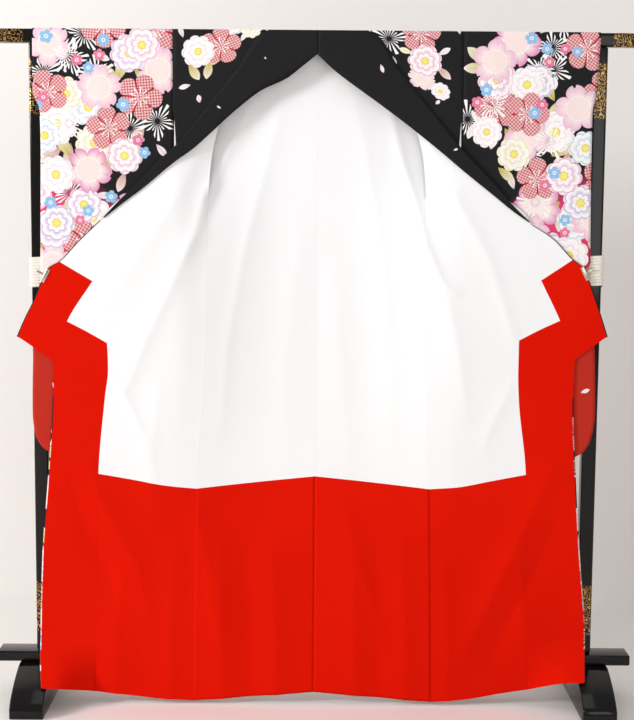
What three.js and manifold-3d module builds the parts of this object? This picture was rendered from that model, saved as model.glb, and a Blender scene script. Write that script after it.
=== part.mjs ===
// A furisode, a long-sleeved kimono, hung open on a black lacquered kimono stand.
// Millimetres, +Z up, the origin on the floor midway between the feet. The front faces -Y and
// "left" is the side at -X. Sizes of the cloth are given outwards from the middle of the back.
import * as THREE from 'three';
import Module from 'manifold-3d';
import { mergeVertices } from 'three/addons/utils/BufferGeometryUtils.js';

const wasm = await Module();
wasm.setup();

// ---- Driving dimensions of the stand ----
const STAND = {
  rodLength: 1572, rodDepth: 30, rodHeight: 33, rodUnderside: 1611, rodChamfer: 3,
  postSpacing: 1345, postSide: 35, postChamfer: 4,
  railLength: 1572, railDepth: 64, railThickness: 26, railUnderside: 99,
  footSpacing: 1376, footWidth: 82, footLength: 336,
};
const FOOT_TOP = { pastRail: 6, toeHeight: 24, shoulder: 1.3, drop: 0.7, steps: 7 };
const SEAT = 0.3; // between two pieces that rest on or are sewn to each other

// ---- Driving dimensions of the cloth ----
const CLOTH = 1; // one layer, from face to face
const LINING = { front: 0, back: CLOTH }; // behind the face that shows
const OUTER = { front: CLOTH + SEAT, back: 2 * CLOTH + SEAT };
const ROLL = 2; // how far the outer cloth stands past its lining at a free edge
const SEAM = SEAT / 2; // from a seam line to the edge of each piece
const ARMHOLE = 347; // from the middle of the back to the seam of the sleeve
const NECK = 124; // from the middle of the back to the collar, along the rod

const rodTop = STAND.rodUnderside + STAND.rodHeight;
const SHOULDER = { under: rodTop + SEAT, over: rodTop + SEAT + CLOTH };
const BACK_CLOTH = 17.8; // Y of the inner face of the cloth that hangs behind the rod and posts

// ---- Materials ----
const finish = (color, roughness, metalness = 0) =>
  new THREE.MeshStandardMaterial({ color, roughness, metalness });
const LACQUER = finish(0x241f1c, 0.15);
const PRINT = finish(0x242427, 0.8);
const WHITE_SILK = finish(0xf7f6f5, 0.75);
const RED_CREPE = finish(0xd81c03, 0.8);
const COTTON_CORD = finish(0xf4efe4, 0.9);
const CLIP_METAL = finish(0xc9c3b2, 0.3, 1);

const garment = new THREE.Group();
garment.name = 'furisode_on_stand';

function put(name, geometry, material) {
  const mesh = new THREE.Mesh(geometry, material);
  mesh.name = name;
  garment.add(mesh);
  return mesh;
}

// ---- Walls of cloth ----
// A wall closes two grids of points, grid[row][column] = [x, y, z], into one solid.
function wall(face, underside) {
  const rows = face.length;
  const columns = face[0].length;
  const points = [...face.flat(), ...underside.flat()];
  const at = (side, row, column) => (side * rows + row) * columns + column;
  const triangles = [];
  const quad = (a, b, c, d) => triangles.push(a, b, c, a, c, d);
  for (let row = 0; row < rows - 1; row++) {
    for (let column = 0; column < columns - 1; column++) {
      const [a, b] = [[row, column], [row + 1, column]];
      const [c, d] = [[row + 1, column + 1], [row, column + 1]];
      quad(at(0, ...a), at(0, ...b), at(0, ...c), at(0, ...d));
      quad(at(1, ...a), at(1, ...d), at(1, ...c), at(1, ...b));
    }
  }
  for (let row = 0; row < rows - 1; row++) {
    quad(at(0, row, 0), at(1, row, 0), at(1, row + 1, 0), at(0, row + 1, 0));
    const last = columns - 1;
    quad(at(0, row + 1, last), at(1, row + 1, last), at(1, row, last), at(0, row, last));
  }
  for (let column = 0; column < columns - 1; column++) {
    quad(at(0, 0, column + 1), at(1, 0, column + 1), at(1, 0, column), at(0, 0, column));
    const last = rows - 1;
    quad(at(0, last, column), at(1, last, column), at(1, last, column + 1), at(0, last, column + 1));
  }
  if (enclosed(points, triangles) < 0) {
    triangles.reverse();
  }
  const geometry = new THREE.BufferGeometry();
  geometry.setAttribute('position', new THREE.Float32BufferAttribute(points.flat(), 3));
  geometry.setIndex(triangles);
  return geometry;
}

function enclosed(points, triangles) {
  let volume = 0;
  for (let i = 0; i < triangles.length; i += 3) {
    const [a, b, c] = triangles.slice(i, i + 3).map((n) => new THREE.Vector3(...points[n]));
    volume += a.dot(b.cross(c));
  }
  return volume;
}

// One layer of an opened sheet, moved back from the face that shows. hand is -1 on the left.
function layer(rows, hand, { front, back }) {
  const moved = (by) => rows.map((row) => row.map((p) => [hand * p.x, p.y + by * p.slant, p.z]));
  return wall(moved(front), moved(back));
}

// Layers are moved back along Y. Where the sheet slants they are moved further, by this factor,
// so that each keeps its thickness and its gap. It is held down where a fold turns sharply.
const STEEPEST = 1.6;

function slanted(rows) {
  const vector = ({ x, y, z }) => new THREE.Vector3(x, y, z);
  return rows.map((row, n) => row.map((p, m) => {
    const along = vector(row[m + 1] ?? p).sub(vector(row[m - 1] ?? p));
    const down = vector((rows[n + 1] ?? row)[m]).sub(vector((rows[n - 1] ?? row)[m]));
    const normal = along.cross(down).normalize();
    return { ...p, slant: Math.min(STEEPEST, 1 / Math.abs(normal.y)) };
  }));
}

// The rows of a table as objects, each number under the name of its column.
const named = ({ columns, ...rows }, key) => rows[key].map((row) => (
  Object.fromEntries(columns.map((column, n) => [column, row[n]]))));
const pointAt = (row, name) => ({ x: row[`${name}X`], y: row[`${name}Y`], z: row[`${name}Z`] });
const between = (a, b, t) => ({
  x: a.x + (b.x - a.x) * t,
  y: a.y + (b.y - a.y) * t,
  z: a.z + (b.z - a.z) * t,
});
const shifted = (p, dx, dz = 0) => ({ ...p, x: p.x + dx, z: p.z + dz });
const lerp = (from, to, t) => from + (to - from) * t;

// ---- The stand ----
function chamferedOutline(width, height, chamfer) {
  const [w, h] = [width / 2, height / 2];
  const corners = [
    [w - chamfer, -h], [w, chamfer - h], [w, h - chamfer], [w - chamfer, h],
    [chamfer - w, h], [-w, h - chamfer], [-w, chamfer - h], [chamfer - w, -h],
  ];
  return new THREE.Shape(corners.map(([x, y]) => new THREE.Vector2(x, y)));
}

function bar(shape, length) {
  const geometry = new THREE.ExtrudeGeometry(shape, { depth: length, bevelEnabled: false });
  return geometry.translate(0, 0, -length / 2);
}

function buildRodAndRail() {
  put('rod', turnedBar(STAND.rodDepth, STAND.rodHeight, STAND.rodChamfer, STAND.rodLength), LACQUER)
    .position.set(0, 0, STAND.rodUnderside + STAND.rodHeight / 2);
  put('rail', turnedBar(STAND.railDepth, STAND.railThickness, STAND.rodChamfer, STAND.railLength), LACQUER)
    .position.set(0, 0, STAND.railUnderside + STAND.railThickness / 2);
}

// A chamfered bar that lies along X, its outline's first size along Y and its second along Z.
function turnedBar(depth, height, chamfer, length) {
  const geometry = bar(chamferedOutline(height, depth, chamfer), length);
  return geometry.rotateY(Math.PI / 2);
}

function buildPost(name, hand) {
  const foot = STAND.railUnderside + STAND.railThickness + SEAT;
  const head = STAND.rodUnderside - SEAT;
  const post = bar(chamferedOutline(STAND.postSide, STAND.postSide, STAND.postChamfer), head - foot);
  put(name, post, LACQUER).position.set((hand * STAND.postSpacing) / 2, 0, (head + foot) / 2);
}

// A foot lies along Y. Its top is level under the rail and falls in an arc to each toe.
function buildFoot(name, hand) {
  const half = STAND.footLength / 2;
  const top = STAND.railUnderside - SEAT;
  const flat = STAND.railDepth / 2 + FOOT_TOP.pastRail;
  const run = half - flat;
  const { toeHeight, shoulder, drop, steps } = FOOT_TOP;
  const toe = (t) => toeHeight + (top - toeHeight) * (1 - t ** shoulder) ** drop;
  const side = new THREE.Shape();
  side.moveTo(-half, 0);
  side.lineTo(half, 0);
  for (let step = steps; step >= 0; step--) {
    const t = step / steps;
    side.lineTo(flat + run * t, toe(t));
  }
  for (let step = 0; step <= steps; step++) {
    const t = step / steps;
    side.lineTo(-flat - run * t, toe(t));
  }
  const geometry = bar(side, STAND.footWidth);
  geometry.rotateX(Math.PI / 2).rotateZ(Math.PI / 2);
  put(name, geometry, LACQUER).position.set((hand * STAND.footSpacing) / 2, 0, 0);
}

// ---- The cords bound round the posts and the clips that hold the cloth to them ----
const BINDING = { thickness: 4, height: 80 };
const HOLD = {
  left: { middle: 1064, jaw: { x: 653, z: 1057 }, lean: 0.48 },
  right: { middle: 1077, jaw: { x: 646, z: 1072 }, lean: 0.46 },
};

function buildBinding(name, hand, { middle }) {
  const inside = STAND.postSide + 2 * SEAT;
  const outside = inside + 2 * BINDING.thickness;
  const ring = chamferedOutline(outside, outside, STAND.postChamfer + BINDING.thickness / 2);
  ring.holes.push(new THREE.Path(chamferedOutline(inside, inside, STAND.postChamfer).getPoints()));
  put(name, bar(ring, BINDING.height), COTTON_CORD)
    .position.set((hand * STAND.postSpacing) / 2, 0, middle);
}

const CLIP = { length: 36, reach: 8, plate: 1.4, stem: 5, throat: 3.4, tail: 20, play: 0.45 };
const CLIP_FACE = -31.2; // Y of the lining face that the jaw closes on
const WELD = 0.2; // how far two parts of one piece run into each other

function solidOf(geometry) {
  const bare = geometry.clone();
  bare.deleteAttribute('normal');
  bare.deleteAttribute('uv');
  const merged = mergeVertices(bare);
  const vertProperties = new Float32Array(merged.attributes.position.array);
  const triVerts = new Uint32Array(merged.index.array);
  return new wasm.Manifold(new wasm.Mesh({ numProp: 3, vertProperties, triVerts }));
}

function geometryOf(solid) {
  const { numProp, vertProperties, triVerts } = solid.getMesh();
  const geometry = new THREE.BufferGeometry();
  geometry.setAttribute('position', new THREE.BufferAttribute(new Float32Array(vertProperties), numProp));
  geometry.setIndex(new THREE.BufferAttribute(new Uint32Array(triVerts), 1));
  return geometry;
}

const block = (from, to) => {
  const size = to.map((value, axis) => value - from[axis]);
  const box = new THREE.BoxGeometry(...size);
  return solidOf(box.translate(...from.map((value, axis) => value + size[axis] / 2)));
};

// A jaw of spring steel that takes the edge of the collar, with a stem that hooks into the
// cord on the post. It is made at the origin with the edge of the cloth along Z.
function buildClip(name, hand, { jaw, lean }) {
  const half = CLIP.length / 2;
  const cloth = OUTER.back + 2 * CLIP.play;
  const near = CLIP_FACE - CLIP.play;
  const far = near + cloth;
  const throat = CLIP.throat;
  const spine = throat + CLIP.plate;
  const binding = -(STAND.postSide / 2 + SEAT + BINDING.thickness + SEAT);
  const outline = block([-CLIP.reach, near - CLIP.plate, -half], [spine, far + CLIP.plate, half]);
  const slot = block([-2 * CLIP.reach, near, -CLIP.length], [throat, far, CLIP.length]);
  const stem = block(
    [spine - WELD, far, -CLIP.stem / 2],
    [spine + CLIP.tail, far + CLIP.plate, CLIP.stem / 2],
  );
  const hook = block(
    [spine + CLIP.tail - CLIP.plate, far + WELD, -CLIP.stem / 2],
    [spine + CLIP.tail, binding, CLIP.stem / 2],
  );
  const clip = geometryOf(outline.subtract(slot).add(stem).add(hook));
  clip.rotateY(-lean);
  if (hand < 0) {
    clip.scale(-1, 1, 1);
    clip.setIndex([...clip.index.array].reverse());
  }
  put(name, clip, CLIP_METAL).position.set(hand * jaw.x, 0, jaw.z);
}

// ---- The opened body ----
// Every row runs outwards from the middle of the back. x is measured from there, y is the
// face of the lining and z the height. The body is one continuous sheet: back, front panel,
// okumi (the overlap strip) and collar, and each piece takes its own stretch of the rows.
const BACK_ROWS = {
  columns: ['middleZ', 'middleY', 'sideX', 'sideY', 'sideZ'],
  left: [
    [1600, 16.3, 346, 16.3, 1600],
    [1465, 16.3, 346, 16.3, 1465],
    [1340, 16.3, 292, 12, 1340],
    [1250, 16.3, 262, -2, 1250],
    [1170, 16.3, 265, -10, 1170],
    [1060, 16.3, 266, -12, 1060],
    [905, 14, 268, -14, 905],
    [765, 8, 275, -17, 765],
    [567, -8, 291, -24, 537],
    [370, -24, 294, -33, 360],
    [190, -38, 296, -43, 180],
    [31, -46, 298, -49, 9],
  ],
  right: [
    [1600, 16.3, 346, 16.3, 1600],
    [1465, 16.3, 346, 16.3, 1465],
    [1340, 16.3, 290, 12, 1340],
    [1250, 16.3, 262, -2, 1250],
    [1170, 16.3, 265, -10, 1170],
    [1060, 16.3, 266, -12, 1060],
    [905, 14, 268, -14, 905],
    [765, 8, 272, -17, 765],
    [567, -8, 281, -24, 540],
    [370, -24, 285, -33, 360],
    [190, -38, 288, -43, 180],
    [31, -46, 291, -49, 10],
  ],
};
const BACK_HEM_LINING = 8; // the row where the white lining ends and the red one begins

const FRONT_ROWS = {
  columns: ['sideX', 'sideY', 'sideZ', 'lapX', 'lapY', 'lapZ', 'seamX', 'seamY', 'seamZ'],
  left: [
    [236, -8.6, 1425, 246, -10.4, 1421, 258, -12, 1412],
    [255, -4, 1340, 315, -18, 1344, 350, -24.5, 1340],
    [262, -8, 1250, 345, -24.5, 1262, 424, -26, 1278],
    [265, -10, 1170, 345, -24.5, 1184, 512, -28, 1200],
    [266, -12, 1060, 345, -24.5, 1052, 541, -29, 1045],
    [268, -14, 905, 345, -25, 900, 507, -28, 895],
    [271.75, -15.6, 830, 347, -25, 829, 505, -28, 829],
    [275, -17, 765, 350, -25, 765, 513, -28, 765],
    [291, -24, 537, 360, -28, 544, 530, -30, 574],
    [294, -33, 360, 370, -33, 360, 534, -33, 360],
    [296, -43, 180, 375, -42, 180, 537, -42, 180],
    [298, -49, 9, 385, -49, 14, 539, -50, 31],
  ],
  right: [
    [236, -8.6, 1418, 246, -10.4, 1414, 258, -12, 1404],
    [255, -4, 1340, 315, -18, 1340, 350, -24.5, 1330],
    [262, -8, 1250, 345, -24.5, 1258, 424, -26, 1270],
    [265, -10, 1170, 345, -24.5, 1182, 510, -28, 1198],
    [266, -12, 1060, 345, -24.5, 1058, 542, -29, 1055],
    [268, -14, 905, 345, -25, 906, 492, -28, 909],
    [270.1, -15.6, 830, 347, -25, 829, 492, -28, 829],
    [272, -17, 765, 350, -25, 765, 495, -28, 765],
    [281, -24, 540, 350, -28, 546, 516, -30, 579],
    [285, -33, 360, 365, -33, 360, 522, -33, 360],
    [288, -43, 180, 370, -42, 180, 527, -42, 180],
    [291, -49, 10, 380, -49, 17, 530, -50, 45],
  ],
};
const FRONT_HEM_LINING = 8;

const OKUMI_ROWS = {
  columns: ['seamX', 'seamY', 'seamZ', 'lapX', 'lapY', 'lapZ', 'edgeX', 'edgeY', 'edgeZ'],
  left: [
    [541, -29, 1043, 542.4, -29, 1042, 543.5, -29, 1041],
    [507, -28, 895, 560, -29, 925, 603, -30, 947],
    [505, -28, 829, 590, -30, 843, 636, -31, 850],
    [513, -28, 765, 595, -31, 765, 637, -32, 765],
    [530, -30, 574, 610, -33, 573, 650, -34, 573],
    [534, -33, 360, 628, -35, 360, 667, -37, 360],
    [537, -42, 180, 632, -43, 180, 672, -45, 180],
    [538, -46, 112, 630, -74, 118, 668, -78, 118],
    [539, -50, 31, 622, -132, 64, 655, -135, 66],
  ],
  right: [
    [542, -29, 1053, 542.8, -29, 1052.6, 543.5, -29, 1052],
    [492, -28, 909, 545, -29, 937, 590, -30, 958],
    [492, -28, 829, 582, -30, 853, 628, -31, 864],
    [495, -28, 765, 582, -31, 765, 625, -32, 765],
    [516, -30, 579, 598, -33, 579, 635, -34, 579],
    [522, -33, 360, 614, -35, 360, 652, -37, 360],
    [527, -42, 180, 626, -43, 180, 667, -45, 180],
    [528.5, -46, 112, 629, -70, 122, 663, -74, 122],
    [530, -50, 45, 627, -106, 80, 658, -109, 81],
  ],
};
const OKUMI_HEM_LINING = 1;

// The stretch of the collar that is turned over, so that its lining faces forwards.
const COLLAR_END_ROWS = {
  columns: ['seamX', 'seamY', 'seamZ', 'freeX', 'freeY', 'freeZ'],
  left: [
    [515.5, -28, 1191, 519, -28, 1191],
    [529, -28.5, 1112, 572, -29, 1140],
    [541, -29, 1045, 619, -30.5, 1091],
    [562, -29.5, 1012, 642, -31.2, 1078],
    [575, -30, 992, 664, -31.2, 1036],
    [590, -30, 967.5, 684, -32, 990],
    [603, -30, 947, 702, -33, 955],
    [636, -31, 850, 722, -33, 910],
  ],
  right: [
    [513.5, -28, 1187, 517, -28, 1187],
    [529, -28.5, 1118, 568, -29, 1154],
    [542, -29, 1055, 616, -30.5, 1105],
    [558, -29.5, 1023, 637, -31.2, 1090],
    [569, -30, 1001, 655, -31.2, 1054],
    [580, -30, 978, 672, -32, 1010],
    [590, -30, 958, 688, -33, 965],
    [628, -31, 864, 703, -33, 920],
  ],
};
const COLLAR_RED = 2; // the row where its red end begins

// The back bows forward late: how far across each fold line lies, and its share of the bow.
const BACK_BOW = [[0.22, 0.02], [0.36, 0.06], [0.68, 0.4]];

function backRows(side) {
  return slanted(named(BACK_ROWS, side).map(({ middleZ, middleY, sideX, sideY, sideZ }) => {
    const middle = { x: SEAM, y: middleY, z: middleZ };
    const edge = { x: sideX - SEAM, y: sideY, z: sideZ };
    const bowed = BACK_BOW.map(([across, share]) => (
      { ...between(middle, edge, across), y: lerp(middleY, sideY, share) }));
    return [middle, ...bowed, edge];
  }));
}

function frontRows(side) {
  return slanted(named(FRONT_ROWS, side).map((row) => {
    const [inner, lap, seam] = ['side', 'lap', 'seam'].map((name) => pointAt(row, name));
    return [shifted(inner, SEAM), lap, between(lap, seam, 0.5), shifted(seam, -SEAM)];
  }));
}

function okumiRows(side) {
  return slanted(named(OKUMI_ROWS, side).map((row) => {
    const [seam, lap, edge] = ['seam', 'lap', 'edge'].map((name) => pointAt(row, name));
    return [shifted(seam, SEAM), lap, edge];
  }));
}

function collarEndRows(side) {
  return slanted(named(COLLAR_END_ROWS, side).map((row) => {
    const [seam, free] = ['seam', 'free'].map((name) => pointAt(row, name));
    return [shifted(seam, SEAM), between(seam, free, 0.5), free];
  }));
}

const rolledOut = (rows) => rows.map((row) => [...row.slice(0, -1), shifted(row.at(-1), ROLL)]);

// The okumi is sewn to the collar above this row, so its outer cloth is rolled out only below.
const OKUMI_FREE = 3;

const okumiWithEdge = (side, roll) => okumiRows(side).map((row, n) => (
  [...row.slice(0, -1), shifted(row.at(-1), n < OKUMI_FREE ? -SEAM : roll)]));

// Rows from one boundary to the next, each kept half a seam clear of it.
function stretch(rows, from, to) {
  const part = rows.slice(from, to).map((row) => row.map((p) => ({ ...p })));
  if (from > 0) {
    part[0] = part[0].map((p) => shifted(p, 0, -SEAM));
  }
  if (to < rows.length) {
    part[part.length - 1] = part.at(-1).map((p) => shifted(p, 0, SEAM));
  }
  return part;
}

function buildOpenedBody(hand, side) {
  const back = backRows(side);
  const front = frontRows(side);
  const okumi = okumiWithEdge(side, 0);
  const collar = collarEndRows(side);
  const pieces = [
    ['back_lining', stretch(back, 0, BACK_HEM_LINING + 1), LINING, WHITE_SILK],
    ['back_hem_lining', stretch(back, BACK_HEM_LINING, back.length), LINING, RED_CREPE],
    ['front_lining', stretch(front, 0, FRONT_HEM_LINING + 1), LINING, WHITE_SILK],
    ['front_hem_lining', stretch(front, FRONT_HEM_LINING, front.length), LINING, RED_CREPE],
    ['okumi_lining', stretch(okumi, 0, OKUMI_HEM_LINING + 1), LINING, WHITE_SILK],
    ['okumi_hem_lining', stretch(okumi, OKUMI_HEM_LINING, okumi.length), LINING, RED_CREPE],
    ['collar_lining', stretch(collar, 0, COLLAR_RED + 1), LINING, WHITE_SILK],
    ['collar_end_lining', stretch(collar, COLLAR_RED, collar.length), LINING, RED_CREPE],
    ['front', front, OUTER, PRINT],
    ['okumi', okumiWithEdge(side, ROLL), OUTER, PRINT],
    ['collar_end', rolledOut(collar), OUTER, PRINT],
  ];
  for (const [name, rows, depth, material] of pieces) {
    put(`${name}_${side}`, layer(rows, hand, depth), material);
  }
  put(`back_${side}`, backWithShoulder(back, hand), PRINT);
}

// Over the rod, from its ridge to the corner where it turns down: Y and Z of both faces.
const OVER_ROD = [
  { outer: [SEAM, SHOULDER.over], inner: [SEAM, SHOULDER.under] },
  { outer: [12.6, SHOULDER.over], inner: [12.2, SHOULDER.under] },
  { outer: [16.4, 1641.6], inner: [15.4, 1641.2] },
];
const NECKLINE = { halfWidth: NECK, depth: 42, through: 60, curveSegments: 10 };

// A grid of both faces of a wall, one row for each point over the rod.
function overRod(facing, xs) {
  return OVER_ROD.map(({ outer, inner }) => xs.map((x) => ({
    outer: [x, facing * outer[0], outer[1]], inner: [x, facing * inner[0], inner[1]],
  })));
}

const facesOf = (grid, face) => grid.map((row) => row.map((p) => p[face]));
const closed = (grid) => wall(facesOf(grid, 'outer'), facesOf(grid, 'inner'));

function backWithShoulder(rows, hand) {
  const over = overRod(1, rows[0].map((p) => hand * p.x));
  const down = rows.map((row) => row.map((p) => ({
    outer: [hand * p.x, p.y + (OUTER.back + SEAT) * p.slant, p.z],
    inner: [hand * p.x, p.y + (OUTER.front + SEAT) * p.slant, p.z],
  })));
  const neckline = new THREE.Shape();
  neckline.absellipse(0, 0, NECKLINE.halfWidth, NECKLINE.depth, 0, 2 * Math.PI);
  const { through, curveSegments } = NECKLINE;
  const cutter = new THREE.ExtrudeGeometry(neckline, { depth: through, bevelEnabled: false, curveSegments });
  cutter.translate(0, 0, -through / 2).rotateX(Math.PI / 2).translate(0, 0, SHOULDER.over);
  return geometryOf(solidOf(closed([...over, ...down])).subtract(solidOf(cutter)));
}

// ---- The front shoulders, which still hang with their outer face forwards ----
const SHOULDER_ROWS = {
  columns: ['collarX', 'sleeveX', 'y', 'z'],
  rows: [
    [150, 347, -16.6, 1598],
    [226, 347, -16.8, 1500],
    [254, 347, -17, 1465],
    [290, 342, -17.2, 1418],
    [329, 339, -17.6, 1366],
  ],
};

const SHOULDER_START = { collar: NECK + 1, middle: 235 }; // along the rod

function buildFrontShoulder(hand, side) {
  const { collar, middle } = SHOULDER_START;
  const top = overRod(-1, [collar, middle, ARMHOLE - SEAM].map((x) => hand * x));
  const rest = named(SHOULDER_ROWS, 'rows').map(({ collarX, sleeveX, y, z }) => {
    const at = (x) => ({ outer: [hand * x, y, z], inner: [hand * x, y + CLOTH, z] });
    return [collarX, (collarX + sleeveX) / 2, sleeveX - SEAM].map(at);
  });
  put(`front_shoulder_${side}`, closed([...top, ...rest]), PRINT);
}

// ---- The collar, from the back of the neck to where it turns over ----
// seam is its sewn edge and free its loose one; y is its front face.
const COLLAR_ROWS = {
  columns: ['seamX', 'seamY', 'seamZ', 'freeX', 'freeY', 'freeZ'],
  left: [
    [SEAM, -18.6, 1644, SEAM, -18.6, 1590],
    [62, -18.6, 1644, 40, -18.8, 1558],
    [NECK, -18.8, 1641, 75, -19, 1531],
    [194, -19, 1553, 134, -19.4, 1503],
    [234, -19.2, 1503, 191, -19.8, 1460],
    [284, -20.4, 1440, 256, -21, 1401],
    [334, -26.6, 1377, 298, -26.4, 1363],
    [372, -28, 1342, 344, -27.5, 1330],
    [430, -29.4, 1282, 416, -29.2, 1270],
    [476, -30.4, 1238, 468, -30.2, 1231],
    [513, -31, 1199, 511, -31, 1197],
  ],
  right: [
    [SEAM, -18.6, 1644, SEAM, -18.6, 1586],
    [61, -18.6, 1644, 36, -18.8, 1553],
    [NECK, -18.8, 1641, 66, -19, 1530],
    [194, -19, 1556, 134, -19.4, 1482],
    [236, -19.2, 1504, 191, -19.8, 1441],
    [288, -20.4, 1440, 262, -21, 1387],
    [334, -26.6, 1381, 304, -26.4, 1353],
    [372, -28, 1340, 345, -27.5, 1319],
    [436, -29.4, 1273, 420, -29.2, 1260],
    [482, -30.4, 1222, 472, -30.2, 1219],
    [511, -31, 1196, 509, -31, 1194],
  ],
};

function buildCollar(hand, side) {
  const rows = named(COLLAR_ROWS, side).map((row) => {
    const [seam, free] = ['seam', 'free'].map((name) => pointAt(row, name));
    return [seam, between(seam, free, 0.5), free].map((p) => ({
      outer: [hand * p.x, p.y, p.z], inner: [hand * p.x, p.y + CLOTH, p.z],
    }));
  });
  put(`collar_${side}`, closed(rows), PRINT);
}

// The middle of the collar lies over the rod at the nape, from the back neck to the two bands.
const NAPE_HALF = NECK - 4; // it stops short of where the bands leave the rod
const ACROSS = [0, 0.25, 0.5, 0.75, 1]; // columns, as shares of the width of a piece
const NAPE = [
  { outer: [-17.3, 1641.4], inner: [-16.3, 1641] },
  { outer: [-13.4, SHOULDER.over], inner: [-12.9, SHOULDER.under] },
  { outer: [13.4, SHOULDER.over], inner: [12.9, SHOULDER.under] },
  { outer: [BACK_CLOTH + CLOTH, 1640.4], inner: [BACK_CLOTH, 1640] },
  { outer: [BACK_CLOTH + 2.6, 1610], inner: [BACK_CLOTH + 1.6, 1610] },
  { outer: [BACK_CLOTH + 2.6, 1580], inner: [BACK_CLOTH + 1.6, 1580] },
];

function buildCollarNape() {
  const grid = NAPE.map(({ outer, inner }) => ACROSS.map((t) => {
    const x = lerp(-NAPE_HALF, NAPE_HALF, t);
    return { outer: [x, ...outer], inner: [x, ...inner] };
  }));
  put('collar_nape', closed(grid), PRINT);
}

// ---- The sleeves ----
// Each is one length folded over the rod. innerX is the side of the body and outerX the cuff.
// The front layer hangs before the posts. The back one starts behind the rod, and its cuff is
// open down to the place where it comes round the inside of the post to meet the front one.
const SLEEVE_FRONT_ROWS = {
  columns: ['z', 'innerX', 'innerY', 'outerLeft', 'outerRight', 'outerY'],
  rows: [
    [1628, 347, -16.5, 680, 671, -19.2],
    [1500, 347, -17, 681, 663, -20],
    [1452, 347, -17.4, 664, 655, -23],
    [1380, 347, -18, 662, 655, -26],
    [1235, 346, -19, 664, 657, -26],
    [1072, 343, -19, 667, 661, -26.4],
    [960, 344, -19, 678, 669, -27],
    [878, 345, -19, 686, 677, -27],
    [725, 346, -19, 690, 682, -27],
    [670, 350, -19, 684, 674, -27],
    [635, 360, -19, 664, 655, -27],
    [617, 384, -19, 628, 622, -26],
  ],
};
const SLEEVE_BACK_ROWS = {
  columns: ['z', 'innerX', 'innerY', 'outerLeft', 'outerRight', 'outerY'],
  rows: [
    [1628, 347, 17.8, 687, 680, 17.8],
    [1600, 347, 17.8, 687, 680, 17.8],
    [1480, 347, 17.4, 687, 680, 17.8],
    [1444, 347, 17, 651, 651, 17.8],
    [1412, 347, 16, 649, 649, 0],
    [1384, 347, 15, 649, 649, -22],
    [1345, 347, 14, 660, 654, -23.9],
    [1072, 343, 5, 665, 660, -24.2],
    [878, 345, -3, 684, 675, -24.9],
    [725, 346, -10, 688, 680, -24.9],
    [670, 350, -14, 682, 672, -24.9],
    [635, 360, -16.6, 662, 653, -24.9],
    [617, 384, -17.2, 626, 620, -24.2],
  ],
};

const outerEdge = (row, side) => (side === 'left' ? row.outerLeft : row.outerRight);

function buildSleeve(name, hand, side, table, facing) {
  const rows = named(table, 'rows');
  const onRod = (t) => hand * lerp(ARMHOLE + SEAM, outerEdge(rows[0], side), t);
  const sheet = slanted(rows.map((row) => ACROSS.map((t) => ({
    x: hand * lerp(row.innerX + SEAM, outerEdge(row, side), t),
    y: lerp(row.innerY, row.outerY, t),
    z: row.z,
  }))));
  const hanging = sheet.map((row) => row.map(({ x, y, z, slant }) => {
    const [near, far] = [[x, y, z], [x, y + CLOTH * slant, z]];
    return facing < 0 ? { outer: near, inner: far } : { outer: far, inner: near };
  }));
  const top = overRod(facing, ACROSS.map(onRod));
  put(`${name}_${side}`, closed([...top, ...hanging]), PRINT);
}

// A narrow red edge shows where the sleeve lining is rolled out along the open cuff.
const CUFF = { width: 3, top: 1630, bottom: 1484 };

function cuffEdge(hand, side) {
  const from = outerEdge(named(SLEEVE_BACK_ROWS, 'rows')[0], side) + SEAT;
  const rows = [CUFF.top, (CUFF.top + CUFF.bottom) / 2, CUFF.bottom];
  const grid = (y) => rows.map((z) => [[hand * from, y, z], [hand * (from + CUFF.width), y, z]]);
  return wall(grid(BACK_CLOTH), grid(BACK_CLOTH + CLOTH));
}

for (const [side, hand] of [['left', -1], ['right', 1]]) {
  buildPost(`post_${side}`, hand);
  buildFoot(`foot_${side}`, hand);
  buildBinding(`binding_${side}`, hand, HOLD[side]);
  buildClip(`clip_${side}`, hand, HOLD[side]);
  buildOpenedBody(hand, side);
  buildFrontShoulder(hand, side);
  buildCollar(hand, side);
  buildSleeve('sleeve_front', hand, side, SLEEVE_FRONT_ROWS, -1);
  buildSleeve('sleeve_back', hand, side, SLEEVE_BACK_ROWS, 1);
  put(`cuff_edge_${side}`, cuffEdge(hand, side), RED_CREPE);
}
buildCollarNape();
buildRodAndRail();

export default garment;
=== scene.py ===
"""A furisode, a long-sleeved silk kimono, hung open on a black lacquered kimono stand.

Metres, +Z up, the front faces -Y and left is the side at -X. Cloth tables are in millimetres,
as a maker measures them, and are read from the middle of the back outwards on each side.
"""
import math

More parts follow.
